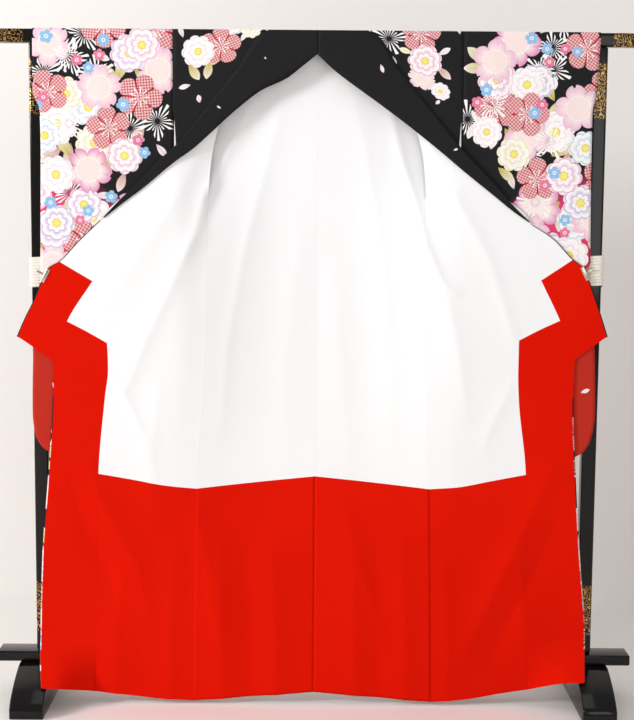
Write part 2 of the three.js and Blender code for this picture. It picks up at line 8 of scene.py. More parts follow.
import bpy
import numpy as np
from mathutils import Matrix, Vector


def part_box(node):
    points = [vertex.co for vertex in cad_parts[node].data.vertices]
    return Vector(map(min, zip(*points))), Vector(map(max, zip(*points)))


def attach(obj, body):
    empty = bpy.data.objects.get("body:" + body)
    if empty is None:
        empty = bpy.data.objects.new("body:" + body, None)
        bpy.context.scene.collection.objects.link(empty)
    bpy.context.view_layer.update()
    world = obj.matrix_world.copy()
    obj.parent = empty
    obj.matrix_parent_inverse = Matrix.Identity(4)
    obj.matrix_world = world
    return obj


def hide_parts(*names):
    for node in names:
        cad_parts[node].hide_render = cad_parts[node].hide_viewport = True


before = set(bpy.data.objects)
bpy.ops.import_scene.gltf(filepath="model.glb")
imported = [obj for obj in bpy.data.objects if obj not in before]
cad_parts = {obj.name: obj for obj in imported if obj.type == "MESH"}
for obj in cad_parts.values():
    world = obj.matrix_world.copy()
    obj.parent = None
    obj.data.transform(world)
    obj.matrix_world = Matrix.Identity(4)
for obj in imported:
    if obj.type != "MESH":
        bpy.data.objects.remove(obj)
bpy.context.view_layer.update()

# ---- The camera ----
# It stands before the middle of the garment at chest height and looks slightly down, so the
# rod and the floor both show. It is rolled by about half a degree.
IMAGE_HEIGHT_PX = 720
IMAGE_MIDDLE_PX = 317
AHEAD_PX = 315.9        # the column straight ahead of the camera
FOCAL_PX = 1397
CAMERA_DOWN, CAMERA_ROLL = math.radians(6.3), math.radians(0.45)


def in_scene(name, data):
    """A new object, linked into the scene."""
    thing = bpy.data.objects.new(name, data)
    bpy.context.scene.collection.objects.link(thing)
    return thing


camera = in_scene("camera", bpy.data.cameras.new("camera"))
bpy.context.scene.camera = camera
camera.data.sensor_fit = "AUTO"
camera.data.sensor_width = 36
camera.data.lens = FOCAL_PX / IMAGE_HEIGHT_PX * camera.data.sensor_width
camera.data.shift_x = (IMAGE_MIDDLE_PX - AHEAD_PX) / IMAGE_HEIGHT_PX
camera.location = (0, -3.4, 1.230)
camera.rotation_mode = "XYZ"
camera.rotation_euler = (math.radians(90) - CAMERA_DOWN, 0, 0)
camera.rotation_euler.rotate_axis("Z", CAMERA_ROLL)


# ---- Shader maths ----
# Every finish below is written with these two classes.
class Wire:
    """A value inside a material. Python's operators add its Math nodes."""

    def __init__(self, shader, socket):
        self.shader = shader
        self.socket = socket

    def math(self, operation, *others):
        return self.shader.node("ShaderNodeMath", {"operation": operation}, [self, *others])

    def __add__(self, other): return self.math("ADD", other)
    def __radd__(self, other): return self.math("ADD", other)
    def __sub__(self, other): return self.math("SUBTRACT", other)
    def __rsub__(self, other): return self.math("MULTIPLY_ADD", -1.0, other)
    def __mul__(self, other): return self.math("MULTIPLY", other)
    def __rmul__(self, other): return self.math("MULTIPLY", other)
    def __truediv__(self, other): return self.math("DIVIDE", other)
    def __pow__(self, other): return self.math("POWER", other)
    def __abs__(self): return self.math("ABSOLUTE")
    def fract(self): return self.math("FRACT")
    def sine(self): return self.math("SINE")
    def below(self, other): return self.math("LESS_THAN", other)

    def rise(self, start, end):
        """0 before start, 1 after end and smooth between."""
        return self.shader.node(
            "ShaderNodeMapRange", {"interpolation_type": "SMOOTHSTEP"}, {0: self, 1: start, 2: end})


class Shader:
    """One material, built from its Principled BSDF outwards. It is named for its slot."""

    def __init__(self, name, **constants):
        self.slot = name
        self.material = bpy.data.materials.new(name)
        self.material.use_nodes = True
        self.tree = self.material.node_tree
        self.bsdf = self.tree.nodes["Principled BSDF"]
        for socket, value in constants.items():
            self.bsdf.inputs[socket.replace("_", " ")].default_value = value

    def node(self, kind, settings=None, sockets=None, output=0):
        made = self.tree.nodes.new(kind)
        for key, value in (settings or {}).items():
            setattr(made, key, value)
        given = sockets or {}
        for key, value in given.items() if isinstance(given, dict) else enumerate(given):
            self.link(made.inputs[key], value)
        return Wire(self, made.outputs[output])

    def link(self, socket, value):
        if isinstance(value, Wire):
            self.tree.links.new(value.socket, socket)
        else:
            socket.default_value = value

    def set(self, socket, value):
        self.link(self.bsdf.inputs[socket], value)

    def mix(self, factor, first, second):
        sockets = {0: factor, 6: first, 7: second}
        return self.node("ShaderNodeMix", {"data_type": "RGBA"}, sockets, 2)

    def place(self, scale=(1, 1, 1)):
        where = self.node("ShaderNodeTexCoord", output="Object")
        return self.node("ShaderNodeMapping", None, {"Vector": where, "Scale": scale})

    def noise(self, where, size, detail=2.0):
        sockets = {"Vector": where, "Scale": size, "Detail": detail}
        return self.node("ShaderNodeTexNoise", None, sockets)

    def split(self, vector):
        made = self.tree.nodes.new("ShaderNodeSeparateXYZ")
        self.link(made.inputs[0], vector)
        return [Wire(self, made.outputs[n]) for n in range(3)]

    def bump(self, height, strength, distance):
        self.set("Normal", self.node(
            "ShaderNodeBump", None, {"Strength": strength, "Distance": distance, "Height": height}))


def srgb(red, green, blue):
    """A colour as it looks on screen, 0 to 255, in the linear values a shader takes."""
    return tuple(((c / 255 + 0.055) / 1.055) ** 2.4 for c in (red, green, blue)) + (1.0,)


# ---- The studio ----
# A pale floor and wall under even light, with one broad lamp well to the left that rakes
# across the cloth so its creases show, and a weak one in front.
ROOM = 24               # across the floor and the wall
WALL_BEHIND = 0.9
WALL_MIDDLE = 11

bpy.context.scene.view_settings.view_transform = "Standard"
world = bpy.data.worlds.new("studio")
bpy.context.scene.world = world
world.use_nodes = True
sky = world.node_tree.nodes["Background"]
sky.inputs["Color"].default_value = (0.99, 0.995, 1.0, 1)
sky.inputs["Strength"].default_value = 0.40


def soft_light(name, place, target, size, power):
    """A square area light that faces its target."""
    lamp = in_scene(name, bpy.data.lights.new(name, "AREA"))
    lamp.data.size = size
    lamp.data.energy = power
    lamp.location = place
    lamp.rotation_euler = (Vector(target) - Vector(place)).to_track_quat("-Z", "Y").to_euler()


soft_light("raking", (-6.0, -3.2, 3.1), (0.2, 0, 0.8), 1.4, 298)
soft_light("front", (1.6, -4.6, 1.9), (0, 0, 0.8), 2.0, 26)
soft_light("ceiling", (0, -0.8, 3.6), (0, 0.2, 0.4), 2.2, 14)

# From behind the wall is clear, so the back of the garment can be seen through it.
paper = Shader("pale_paper", Base_Color=(0.93, 0.90, 0.87, 1), Roughness=0.8)
paper.set("Alpha", 1.0 - paper.node("ShaderNodeNewGeometry", output="Backfacing"))
for name, place, turn in (("floor", (0, 0, 0), 0),
                          ("wall", (0, WALL_BEHIND, WALL_MIDDLE), math.radians(90))):
    bpy.ops.mesh.primitive_plane_add(size=ROOM, location=place, rotation=(turn, 0, 0))
    bpy.context.object.name = name
    bpy.context.object.data.materials.append(paper.material)


# ---- The rod, the rail and the posts ----
# Straight bars of wood with softened edges, each the size of its CAD node. The lacquer is
# nearly black, polished and a little warm where it catches the light. Gold scrollwork is
# sprinkled on at the ends of the rod and at the tops and feet of the posts.
MM = 0.001
SMOOTH_BELOW = math.radians(40)

lacquer = Shader("black_lacquer", Coat_Weight=0.15, Coat_Roughness=0.05, Specular_IOR_Level=0.22)
x, _, z = lacquer.split(lacquer.place())
on_rod = abs(x).rise(0.701, 0.706) * z.rise(1.60, 1.61)
bands = (z.rise(1.44, 1.445) * z.rise(1.575, 1.57)
         + z.rise(0.17, 0.175) * z.rise(0.30, 0.295))
on_posts = bands * abs(x).below(0.695) * abs(x).rise(0.654, 0.656)
curl = lacquer.noise(lacquer.place(), 62.0, 1.0)
vine = abs((curl * 7.0).fract() - 0.5).rise(0.16, 0.11)
gold = vine * (on_rod + on_posts).math("MINIMUM", 1.0)
lacquer.set("Base Color", lacquer.mix(gold, srgb(14, 11, 10), srgb(206, 160, 84)))
lacquer.set("Metallic", gold)
lacquer.set("Roughness", 0.14 + 0.22 * gold)


def deselect():
    bpy.ops.object.select_all(action="DESELECT")


def apply_transform(location=False, rotation=False, scale=False):
    bpy.ops.object.transform_apply(location=location, rotation=rotation, scale=scale)


def soften(piece, width, segments, sharper_than=30):
    """Rounds the edges of the active piece that turn through more than an angle."""
    bevel = piece.modifiers.new("softening", "BEVEL")
    bevel.width = width * MM
    bevel.segments = segments
    bevel.limit_method = "ANGLE"
    bevel.angle_limit = math.radians(sharper_than)
    bpy.ops.object.modifier_apply(modifier=bevel.name)


def show(piece, finish, *nodes):
    """Gives a piece its finish and stands it in for its CAD nodes."""
    piece.data.materials.clear()
    piece.data.materials.append(finish.material)
    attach(piece, "root")
    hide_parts(*nodes)


for node, softening in (("rod", 5), ("rail", 4), ("post_left", 5), ("post_right", 5)):
    low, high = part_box(node)
    deselect()
    bpy.ops.mesh.primitive_cube_add(size=1, location=(low + high) / 2)
    wood = bpy.context.object
    wood.name = f"wood_{node}"
    wood.scale = high - low
    apply_transform(location=True, scale=True)
    soften(wood, softening, 4)
    bpy.ops.object.shade_smooth_by_angle(angle=SMOOTH_BELOW)
    show(wood, lacquer, node)


# ---- The feet ----
# Each is one lacquered block along Y that carries a post. Its top is level under the rail
# and falls in an arc to the toes. The outline is drawn from the side and made solid.
SIDES = {"left": -1, "right": 1}
FOOT = {"middle": 688, "half": 168, "width": 82, "top": 98.7, "flat": 38, "toe": 24,
        "steps": 28, "softening": 3.5}


def faces_outwards():
    """Turns every face of the piece in edit mode outwards."""
    bpy.ops.mesh.select_all(action="SELECT")
    bpy.ops.mesh.normals_make_consistent(inside=False)


run = FOOT["half"] - FOOT["flat"]
drop = FOOT["top"] - FOOT["toe"]
arc = [step / FOOT["steps"] for step in range(FOOT["steps"] + 1)]
fall = [(FOOT["flat"] + run * t, FOOT["toe"] + drop * (1 - t ** 1.3) ** 0.7) for t in arc]
outline = [(-FOOT["half"], 0), (FOOT["half"], 0), *reversed(fall), *[(-y, z) for y, z in fall]]
for side, hand in SIDES.items():
    deselect()
    mesh = bpy.data.meshes.new(f"wood_foot_{side}")
    from_x = (hand * FOOT["middle"] - FOOT["width"] / 2) * MM
    mesh.from_pydata([(from_x, y * MM, z * MM) for y, z in outline], [], [range(len(outline))])
    wood = in_scene(f"wood_foot_{side}", mesh)
    bpy.context.view_layer.objects.active = wood
    wood.select_set(True)
    bpy.ops.object.mode_set(mode="EDIT")
    bpy.ops.mesh.select_all(action="SELECT")
    across = {"value": (FOOT["width"] * MM, 0, 0)}
    bpy.ops.mesh.extrude_region_move(TRANSFORM_OT_translate=across)
    faces_outwards()
    bpy.ops.object.mode_set(mode="OBJECT")
    soften(wood, FOOT["softening"], 3, 50)
    bpy.ops.object.shade_smooth_by_angle(angle=SMOOTH_BELOW)
    show(wood, lacquer, f"foot_{side}")


# ---- The cords ----
# One long twisted cotton cord is wound ten times round each post, turn on turn. It lies close
# to the post's flat sides and is pulled round at the corners.
CORD = {"radius": 4.0, "turns": 10, "points": 48, "proud": 1.6, "corner": 1.75}

cord = Shader("cotton_cord", Base_Color=srgb(246, 240, 228), Roughness=0.85)
strand = cord.split(cord.place())
cord.bump((900.0 * (strand[0] + strand[1] + strand[2])).sine(), 0.35, 0.0006)

for side, hand in SIDES.items():
    low, high = (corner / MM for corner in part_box(f"binding_{side}"))
    middle = (low + high) / 2
    reach = (high.x - low.x) / 2 - CORD["radius"] + CORD["proud"]
    pitch = (high.z - low.z - 2 * CORD["radius"]) / CORD["turns"]
    curve = bpy.data.curves.new(f"cord_{side}", "CURVE")
    curve.dimensions = "3D"
    curve.bevel_depth = CORD["radius"] * MM
    curve.bevel_resolution = 2
    line = curve.splines.new("POLY")
    count = CORD["turns"] * CORD["points"]
    line.points.add(count)
    for n in range(count + 1):
        turn = 2 * math.pi * n / CORD["points"]
        across, deep = math.cos(turn), math.sin(turn)
        cornered = (abs(across) + abs(deep)) / CORD["corner"]
        square = reach / max(abs(across), abs(deep), cornered)
        z = low.z + CORD["radius"] + pitch * n / CORD["points"]
        place = ((middle.x + across * square) * MM, (middle.y + deep * square) * MM, z * MM)
        line.points[n].co = (*place, 1)
    tube = in_scene(f"cord_{side}", curve)
    deselect()
    bpy.context.view_layer.objects.active = tube
    tube.select_set(True)
    bpy.ops.object.convert(target="MESH")
    bpy.ops.object.shade_smooth()
    show(bpy.context.object, cord, f"binding_{side}")


# ---- Cloth: a coarse table of points becomes a fine grid and then a thin closed shell ----
# Grids are in millimetres, [row, column] = (outwards, Y, Z), and turn metric in shell().
CLOTH = 1.0       # one layer
SEAT = 0.3        # between two layers
SEAM = 0.05       # from a seam to the edge of each lining
ROLL = 3.0        # how far the outer cloth stands past its lining at a free edge
STEP = 7.0        # of a fine grid
MOST_SLANT = 1.6  # a layer that slants is moved back up to this many times its depth
MAP_MARGIN = 0.02  # round each face of a sheet in its map
RIM_WIDTH = 0.012  # of the rim in the map, which lies in that margin
LINING = (0, CLOTH)
OUTER = (CLOTH + SEAT, 2 * CLOTH + SEAT)
BACK_OUTER = (OUTER[0] + SEAT, OUTER[1] + SEAT)
SHEETS = {}


def through(knots, values, at):
    """A smooth line through the values at the knots that never swings past them."""
    spans = np.diff(knots).reshape(-1, *[1] * (values.ndim - 1))
    rates = np.diff(values, axis=0) / spans
    turns = np.empty_like(values)
    turns[0], turns[-1] = rates[0], rates[-1]
    product, total = rates[:-1] * rates[1:], rates[:-1] + rates[1:]
    turns[1:-1] = np.where(product > 0, 2 * product / np.where(total == 0, 1, total), 0)
    n = np.clip(np.searchsorted(knots, at, side="right") - 1, 0, len(knots) - 2)
    span = spans[n]
    t = (at - knots[n]).reshape(span.shape) / span
    return ((1 + 2 * t) * (1 - t) ** 2 * values[n] + t * (1 - t) ** 2 * span * turns[n]
            + t * t * (3 - 2 * t) * values[n + 1] + t * t * (t - 1) * span * turns[n + 1])


def fine(table):
    """A fine grid through a coarse one, and the fine row at which each coarse row lies."""
    grid = np.array(table, float)
    marks = []
    for axis in (0, 1):
        lengths = np.linalg.norm(np.diff(grid, axis=axis), axis=2).mean(axis=1 - axis)
        counts = np.maximum(1, np.round(lengths / STEP)).astype(int)
        knots = np.concatenate([[0], np.cumsum(lengths)])
        at = [np.linspace(*knots[n:n + 2], c + 1)[1:] for n, c in enumerate(counts)]
        at = np.concatenate([[0], *at])
        marks.append(np.concatenate([[0], np.cumsum(counts)]))
        grid = np.moveaxis(through(knots, np.moveaxis(grid, axis, 0), at), 0, axis)
    return grid, marks[0]


def sewn(grid, line, rows):
    """Brings the first column of these rows to a neighbour's edge, height for height."""
    order = np.argsort(line[:, 2])
    for axis in (0, 1):
        at = np.interp(grid[rows, 0, 2], line[order, 2], line[order, axis])
        grid[rows, 0, axis] = at + (2 * SEAM if axis == 0 else 0)
    return grid


def unit_normals(grid):
    normal = np.cross(np.gradient(grid, axis=1), np.gradient(grid, axis=0))
    return normal / np.linalg.norm(normal, axis=2, keepdims=True)


def moved_back(grid, near, far):
    """Both faces of a layer, moved back along Y, and further where the sheet slants."""
    slant = np.minimum(MOST_SLANT, 1 / np.abs(unit_normals(grid)[..., 1]))
    return [grid + np.stack([0 * slant, depth * slant, 0 * slant], -1) for depth in (near, far)]


def shell(node, hand, near, far):
    """One closed thin solid between two faces, with a map that lays both of them out flat."""
    rows, columns = near.shape[:2]
    count = rows * columns
    at = np.arange(count).reshape(rows, columns)
    quads = np.stack([at[:-1, :-1], at[1:, :-1], at[1:, 1:], at[:-1, 1:]], -1).reshape(-1, 4)
    edge = np.concatenate([at[:-1, 0], at[-1, :-1], at[:0:-1, -1], at[0, :0:-1]])
    after = np.roll(edge, -1)
    rim = np.stack([after, edge, edge + count, after + count], -1)
    faces = np.concatenate([quads, quads[:, ::-1] + count, rim])
    points = np.concatenate([near.reshape(-1, 3), far.reshape(-1, 3)]) * (hand * MM, MM, MM)
    corners = points[faces]
    if np.einsum("ij,ij->", corners[:, 0], np.cross(corners[:, 1], corners[:, 2])) < 0:
        faces = faces[:, ::-1]
    mesh = bpy.data.meshes.new(f"silk_{node}")
    mesh.from_pydata(points.tolist(), [], faces.tolist())
    smooth = np.arange(len(faces)) < 2 * len(quads)  # all but the rim
    mesh.polygons.foreach_set("use_smooth", smooth)
    # Both faces side by side, and the rim in the margin round the first.
    down = np.linspace(MAP_MARGIN, 1 - MAP_MARGIN, rows)
    along = np.linspace(MAP_MARGIN, 0.5 - MAP_MARGIN, columns)
    v, u = np.meshgrid(down, along, indexing="ij")
    spread = np.stack([u, v], -1).reshape(-1, 2)
    place = np.concatenate([spread, spread + (0.5, 0)])[faces]
    outwards = np.repeat([(-1, 0), (0, 1), (1, 0), (0, -1)],
                         [rows - 1, columns - 1, rows - 1, columns - 1], axis=0)
    rims, far_corner = faces[~smooth], faces[~smooth] >= count
    place[~smooth] = spread[rims % count] + far_corner[..., None] * outwards[:, None] * RIM_WIDTH
    mesh.uv_layers.new(name="OFBake").data.foreach_set("uv", place.reshape(-1).astype(np.float32))
    # The print is laid out by length along the cloth, so it keeps its size over the rod.
    steps = np.concatenate([[0 * near[0, :, 2]], np.linalg.norm(np.diff(near, axis=0), axis=2)])
    drop = near[0, :, 2] - np.cumsum(steps, axis=0)
    SHEETS[node] = {"across": near[..., 0], "drop": drop, "corners": faces}
    return in_scene(f"silk_{node}", mesh)


# ---- The creases of the cloth, placed one by one ----
# Each is (half width, how far it stands forwards, its line outwards and up). Negative ones are
# troughs. One field of creases moves every layer at a place alike, so none passes another.
CREASES = {
    "left": [
        (14, 6.5, [(150, 1500), (214, 1362), (268, 1262), (292, 1165), (330, 1080)]),
        (18, 5.0, [(292, 1165), (368, 1000), (423, 882), (470, 760)]),
        (34, -2.0, [(190, 1440), (246, 1262), (262, 1120), (310, 980)]),
        (22, 3.0, [(60, 1560), (110, 1380), (170, 1150), (215, 900), (235, 640)]),
        (26, 3.0, [(250, 1440), (330, 1260), (420, 1120), (500, 1000)]),
        (12, 3.0, [(500, 840), (462, 760), (424, 680), (404, 600)]),
        (50, 2.5, [(40, 1200), (70, 900), (90, 560)]),
        (30, 3.0, [(380, 820), (400, 640), (396, 420)]),
        (34, 8.0, [(560, 620), (520, 500), (432, 340), (400, 180)]),
        (30, -5.0, [(600, 560), (560, 430), (500, 300), (470, 150)]),
        (30, 6.0, [(300, 520), (258, 330), (236, 150)]),
        (44, 8.0, [(110, 430), (96, 240), (90, -80)]),
        (36, -3.0, [(168, 420), (160, 200), (158, -80)]),
        (44, 9.0, [(236, 460), (228, 220), (226, -80)]),
        (38, 7.0, [(340, 420), (352, 200), (356, -80)]),
        (40, 7.0, [(470, 380), (486, 190), (492, -80)]),
    ],
    "right": [
        (13, 6.0, [(165, 1500), (192, 1390), (210, 1324), (240, 1235), (266, 1137), (301, 1059)]),
        (22, 3.5, [(266, 1137), (318, 1000), (350, 860), (372, 700)]),
        (10, 4.5, [(262, 1150), (282, 1085), (312, 1040), (351, 1015)]),
        (18, 4.0, [(262, 1400), (310, 1290), (360, 1204), (415, 1105), (460, 977), (486, 880)]),
        (32, -2.0, [(230, 1400), (276, 1260), (318, 1160), (352, 1060)]),
        (24, 2.5, [(70, 1560), (120, 1350), (160, 1100), (185, 850), (190, 600)]),
        (16, 2.5, [(490, 830), (459, 762), (425, 690), (404, 620)]),
        (50, 2.5, [(40, 1100), (64, 820), (84, 560)]),
        (34, 8.0, [(589, 610), (505, 420), (420, 240), (356, 90)]),
        (30, -5.0, [(600, 480), (540, 330), (470, 200), (430, 90)]),
        (30, 5.0, [(60, 540), (96, 400), (150, 240), (176, 120)]),
        (44, 8.0, [(90, 420), (100, 230), (104, -80)]),
        (34, -3.0, [(150, 400), (158, 200), (160, -80)]),
        (46, 9.0, [(212, 440), (224, 210), (230, -80)]),
        (40, 7.0, [(318, 380), (330, 180), (336, -80)]),
        (42, 7.0, [(500, 400), (520, 220), (532, -80)]),
    ],
}


CALM = 22  # the creases die out this near to the middle of the back


def drape(creases, across, up):
    """How far the creases bring the cloth forwards at each point, and nowhere at mid back."""
    forwards = np.zeros_like(across)
    for width, height, line in creases:
        nearest = np.full_like(across, np.inf)
        share = np.zeros_like(across)
        for n, (start, end) in enumerate(zip(line, line[1:])):
            run, rise = end[0] - start[0], end[1] - start[1]
            t = ((across - start[0]) * run + (up - start[1]) * rise) / (run * run + rise * rise)
            t = np.clip(t, 0, 1)
            away = np.hypot(across - start[0] - t * run, up - start[1] - t * rise)
            share = np.where(away < nearest, (n + t) / (len(line) - 1), share)
            nearest = np.minimum(away, nearest)
        forwards += height * np.exp(-(nearest / width) ** 1.2) * np.sqrt(np.sin(np.pi * share))
    return forwards * (1 - np.exp(-(across / CALM) ** 2))


# ---- The opened body: tables of the lining's face ----
# Rows run down the garment. Each holds points (outwards, Y, Z) from its inner edge to its
# outer one: the middle of the back, the side seam, the lap line, the seams, the free edge.
BACK_ROWS = {
    "left": [
        (1600, 16.3, 346, 16.3, 1600),
        (1465, 16.3, 346, 16.3, 1465),
        (1340, 16.3, 292, 12, 1340),
        (1250, 16.3, 262, -2, 1250),
        (1170, 16.3, 265, -10, 1170),
        (1060, 16.3, 266, -12, 1060),
        (905, 14, 268, -14, 905),
        (765, 8, 275, -17, 765),
        (567, -8, 291, -24, 537),
        (370, -24, 294, -33, 360),
        (190, -38, 296, -43, 180),
        (31, -46, 298, -49, 9),
    ],
    "right": [
        (1600, 16.3, 346, 16.3, 1600),
        (1465, 16.3, 346, 16.3, 1465),
        (1340, 16.3, 290, 12, 1340),
        (1250, 16.3, 262, -2, 1250),
        (1170, 16.3, 265, -10, 1170),
        (1060, 16.3, 266, -12, 1060),
        (905, 14, 268, -14, 905),
        (765, 8, 272, -17, 765),
        (567, -8, 281, -24, 540),
        (370, -24, 285, -33, 360),
        (190, -38, 288, -43, 180),
        (31, -46, 291, -49, 10),
    ],
}
FRONT_ROWS = {
    "left": [
        (236, -8.6, 1425, 246, -10.4, 1421, 258, -12, 1412),
        (255, -4, 1340, 315, -18, 1344, 350, -24.5, 1340),
        (262, -8, 1250, 345, -24.5, 1262, 424, -26, 1278),
        (265, -10, 1170, 345, -24.5, 1184, 512, -28, 1200),
        (266, -12, 1060, 345, -24.5, 1052, 541, -29, 1045),
        (268, -14, 905, 345, -25, 900, 507, -28, 895),
        (271.75, -15.6, 830, 347, -25, 829, 505, -28, 829),
        (275, -17, 765, 350, -25, 765, 513, -28, 765),
        (291, -24, 537, 360, -28, 544, 530, -30, 574),
        (294, -33, 360, 370, -33, 360, 534, -33, 360),
        (296, -43, 180, 375, -42, 180, 537, -42, 180),
        (298, -49, 9, 385, -49, 14, 539, -50, 31),
    ],
    "right": [
        (236, -8.6, 1418, 246, -10.4, 1414, 258, -12, 1404),
        (255, -4, 1340, 315, -18, 1340, 350, -24.5, 1330),
        (262, -8, 1250, 345, -24.5, 1258, 424, -26, 1270),
        (265, -10, 1170, 345, -24.5, 1182, 510, -28, 1198),
        (266, -12, 1060, 345, -24.5, 1058, 542, -29, 1055),
        (268, -14, 905, 345, -25, 906, 492, -28, 909),
        (270.1, -15.6, 830, 347, -25, 829, 492, -28, 829),
        (272, -17, 765, 350, -25, 765, 495, -28, 765),
        (281, -24, 540, 350, -28, 546, 516, -30, 579),
        (285, -33, 360, 365, -33, 360, 522, -33, 360),
        (288, -43, 180, 370, -42, 180, 527, -42, 180),
        (291, -49, 10, 380, -49, 17, 530, -50, 45),
    ],
}
OKUMI_ROWS = {
    "left": [
        (541, -29, 1043, 542.4, -29, 1042, 543.5, -29, 1041),
        (507, -28, 895, 560, -29, 925, 603, -30, 947),
        (505, -28, 829, 590, -30, 843, 636, -31, 850),
        (513, -28, 765, 595, -31, 765, 637, -32, 765),
        (530, -30, 574, 610, -33, 573, 650, -34, 573),
        (534, -33, 360, 628, -35, 360, 667, -37, 360),
        (537, -42, 180, 632, -43, 180, 672, -45, 180),
        (538, -46, 112, 630, -74, 118, 668, -78, 118),
        (539, -50, 31, 622, -132, 64, 655, -135, 66),
    ],
    "right": [
        (542, -29, 1053, 542.8, -29, 1052.6, 543.5, -29, 1052),
        (492, -28, 909, 545, -29, 937, 590, -30, 958),
        (492, -28, 829, 582, -30, 853, 628, -31, 864),
        (495, -28, 765, 582, -31, 765, 625, -32, 765),
        (516, -30, 579, 598, -33, 579, 635, -34, 579),
        (522, -33, 360, 614, -35, 360, 652, -37, 360),
        (527, -42, 180, 626, -43, 180, 667, -45, 180),
        (528.5, -46, 112, 629, -70, 122, 663, -74, 122),
        (530, -50, 45, 627, -106, 80, 658, -109, 81),
    ],
}
COLLAR_END_ROWS = {
    "left": [
        (515.5, -28, 1191, 519, -28, 1191),
        (529, -28.5, 1112, 572, -29, 1140),
        (541, -29, 1045, 619, -30.5, 1091),
        (562, -29.5, 1012, 642, -31.2, 1078),
        (575, -30, 992, 664, -31.2, 1036),
        (590, -30, 967.5, 684, -32, 990),
        (603, -30, 947, 702, -33, 955),
        (636, -31, 850, 722, -33, 910),
    ],
    "right": [
        (513.5, -28, 1187, 517, -28, 1187),
        (529, -28.5, 1118, 568, -29, 1154),
        (542, -29, 1055, 616, -30.5, 1105),
        (558, -29.5, 1023, 637, -31.2, 1090),
        (569, -30, 1001, 655, -31.2, 1054),
        (580, -30, 978, 672, -32, 1010),
        (590, -30, 958, 688, -33, 965),
        (628, -31, 864, 703, -33, 920),
    ],
}
SEWN_BELOW = 1250      # the front is sewn to the back from here down
HEM_LINING = 8         # the row of back and front where the red lining begins
OKUMI_HEM_LINING = 1
COLLAR_RED = 2
OKUMI_FREE = 3         # above this row the okumi is sewn to the collar
BACK_BOW = [(0.22, 0.02), (0.36, 0.06), (0.68, 0.4)]  # shares of its width and depth


def points_of(row):
    return [np.array(row[n:n + 3], float) for n in range(0, len(row), 3)]


def back_table(side):
    table = []
    for middle_z, middle_y, side_x, side_y, side_z in BACK_ROWS[side]:
        start = np.array([SEAM, middle_y, middle_z])
        end = np.array([side_x - SEAM, side_y, side_z])
        bowed = []
        for across, share in BACK_BOW:
            point = start + (end - start) * across
            point[1] = middle_y + (side_y - middle_y) * share
            bowed.append(point)
        table.append([start, *bowed, end])
    return table


def opened_sheets(side):
    """The fine grids of the opened body and where their coarse rows lie, creases and all."""
    back, back_marks = fine(back_table(side))
    table = []
    for row in FRONT_ROWS[side]:
        inner, lap, seam = points_of(row)
        table.append([inner + (SEAM, 0, 0), lap, (lap + seam) / 2, seam - (SEAM, 0, 0)])
    front, front_marks = fine(table)
    front = sewn(front, back[:, -1], front[:, 0, 2] < SEWN_BELOW)
    table = []
    for row in OKUMI_ROWS[side]:
        seam, lap, edge = points_of(row)
        table.append([seam + (SEAM, 0, 0), lap, edge])
    okumi, okumi_marks = fine(table)
    okumi = sewn(okumi, front[:, -1], okumi[:, 0, 2] < okumi[0, 0, 2])
    table = []
    for row in COLLAR_END_ROWS[side]:
        seam, free = points_of(row)
        table.append([seam + (SEAM, 0, 0), (seam + free) / 2, free])
    collar, collar_marks = fine(table)
    beside_front = collar[:, 0, 2] > okumi[0, -1, 2]
    collar = sewn(collar, front[:, -1], beside_front)
    collar = sewn(collar, okumi[:, -1], ~beside_front)
    for grid in (back, front, okumi, collar):
        grid[..., 1] -= drape(CREASES[side], grid[..., 0], grid[..., 2])
    return {"back": (back, back_marks), "front": (front, front_marks),
            "okumi": (okumi, okumi_marks), "collar_end": (collar, collar_marks)}


def closed_up(grid, inner=SEAM, outer=SEAM):
    """Widens a sheet of outer cloth until it meets its neighbours at the seams."""
    wide = grid.copy()
    wide[:, 0, 0] -= inner
    wide[:, -1, 0] += outer
    return wide


def stretch(grid, start, end):
    """The rows from one boundary to the next, each kept half a seam clear of it."""
    part = grid[start:end + 1].copy()
    if start > 0:
        part[0, :, 2] -= SEAM
    if end < len(grid) - 1:
        part[-1, :, 2] += SEAM
    return part


# ---- The linings of the opened body ----
# White silk above and red crepe from the knee down, in the collar's end and at the hem. The
# silk is smooth and the crepe has a fine pebbled face. Each is sewn in along its edges.
PRESSED = 1.0  # in radians: edges that turn further than this are shaded as pressed flat

white_silk = Shader(
    "white_lining", Base_Color=srgb(252, 252, 253), Roughness=0.6, Specular_IOR_Level=0.2)
figure = white_silk.noise(white_silk.place((1, 1, 0.35)), 70.0, 3.0)
white_silk.bump(figure, 0.12, 0.0007)

red_crepe = Shader("red_crepe", Roughness=0.85, Specular_IOR_Level=0.04)
grain = red_crepe.noise(red_crepe.place(), 420.0)
fade = red_crepe.noise(red_crepe.place(), 3.0)
red_crepe.set("Base Color", red_crepe.mix(
    fade * 0.5 + grain * 0.5, srgb(240, 27, 0), srgb(208, 15, 0)))
red_crepe.bump(grain, 0.25, 0.0008)

OPENED = {side: opened_sheets(side) for side in SIDES}
for side, hand in SIDES.items():
    for name, boundary, upper, lower in (
            ("back", HEM_LINING, "back_lining", "back_hem_lining"),
            ("front", HEM_LINING, "front_lining", "front_hem_lining"),
            ("okumi", OKUMI_HEM_LINING, "okumi_lining", "okumi_hem_lining"),
            ("collar_end", COLLAR_RED, "collar_lining", "collar_end_lining")):
        grid, marks = OPENED[side][name]
        cut = marks[boundary]
        for piece, part, finish in ((upper, stretch(grid, 0, cut), white_silk),
                                    (lower, stretch(grid, cut, len(grid) - 1), red_crepe)):
            node = f"{piece}_{side}"
            lining = shell(node, hand, *moved_back(part, *LINING))
            if piece != "back_hem_lining":
                lining.data.set_sharp_from_angle(angle=PRESSED)
            show(lining, finish, node)


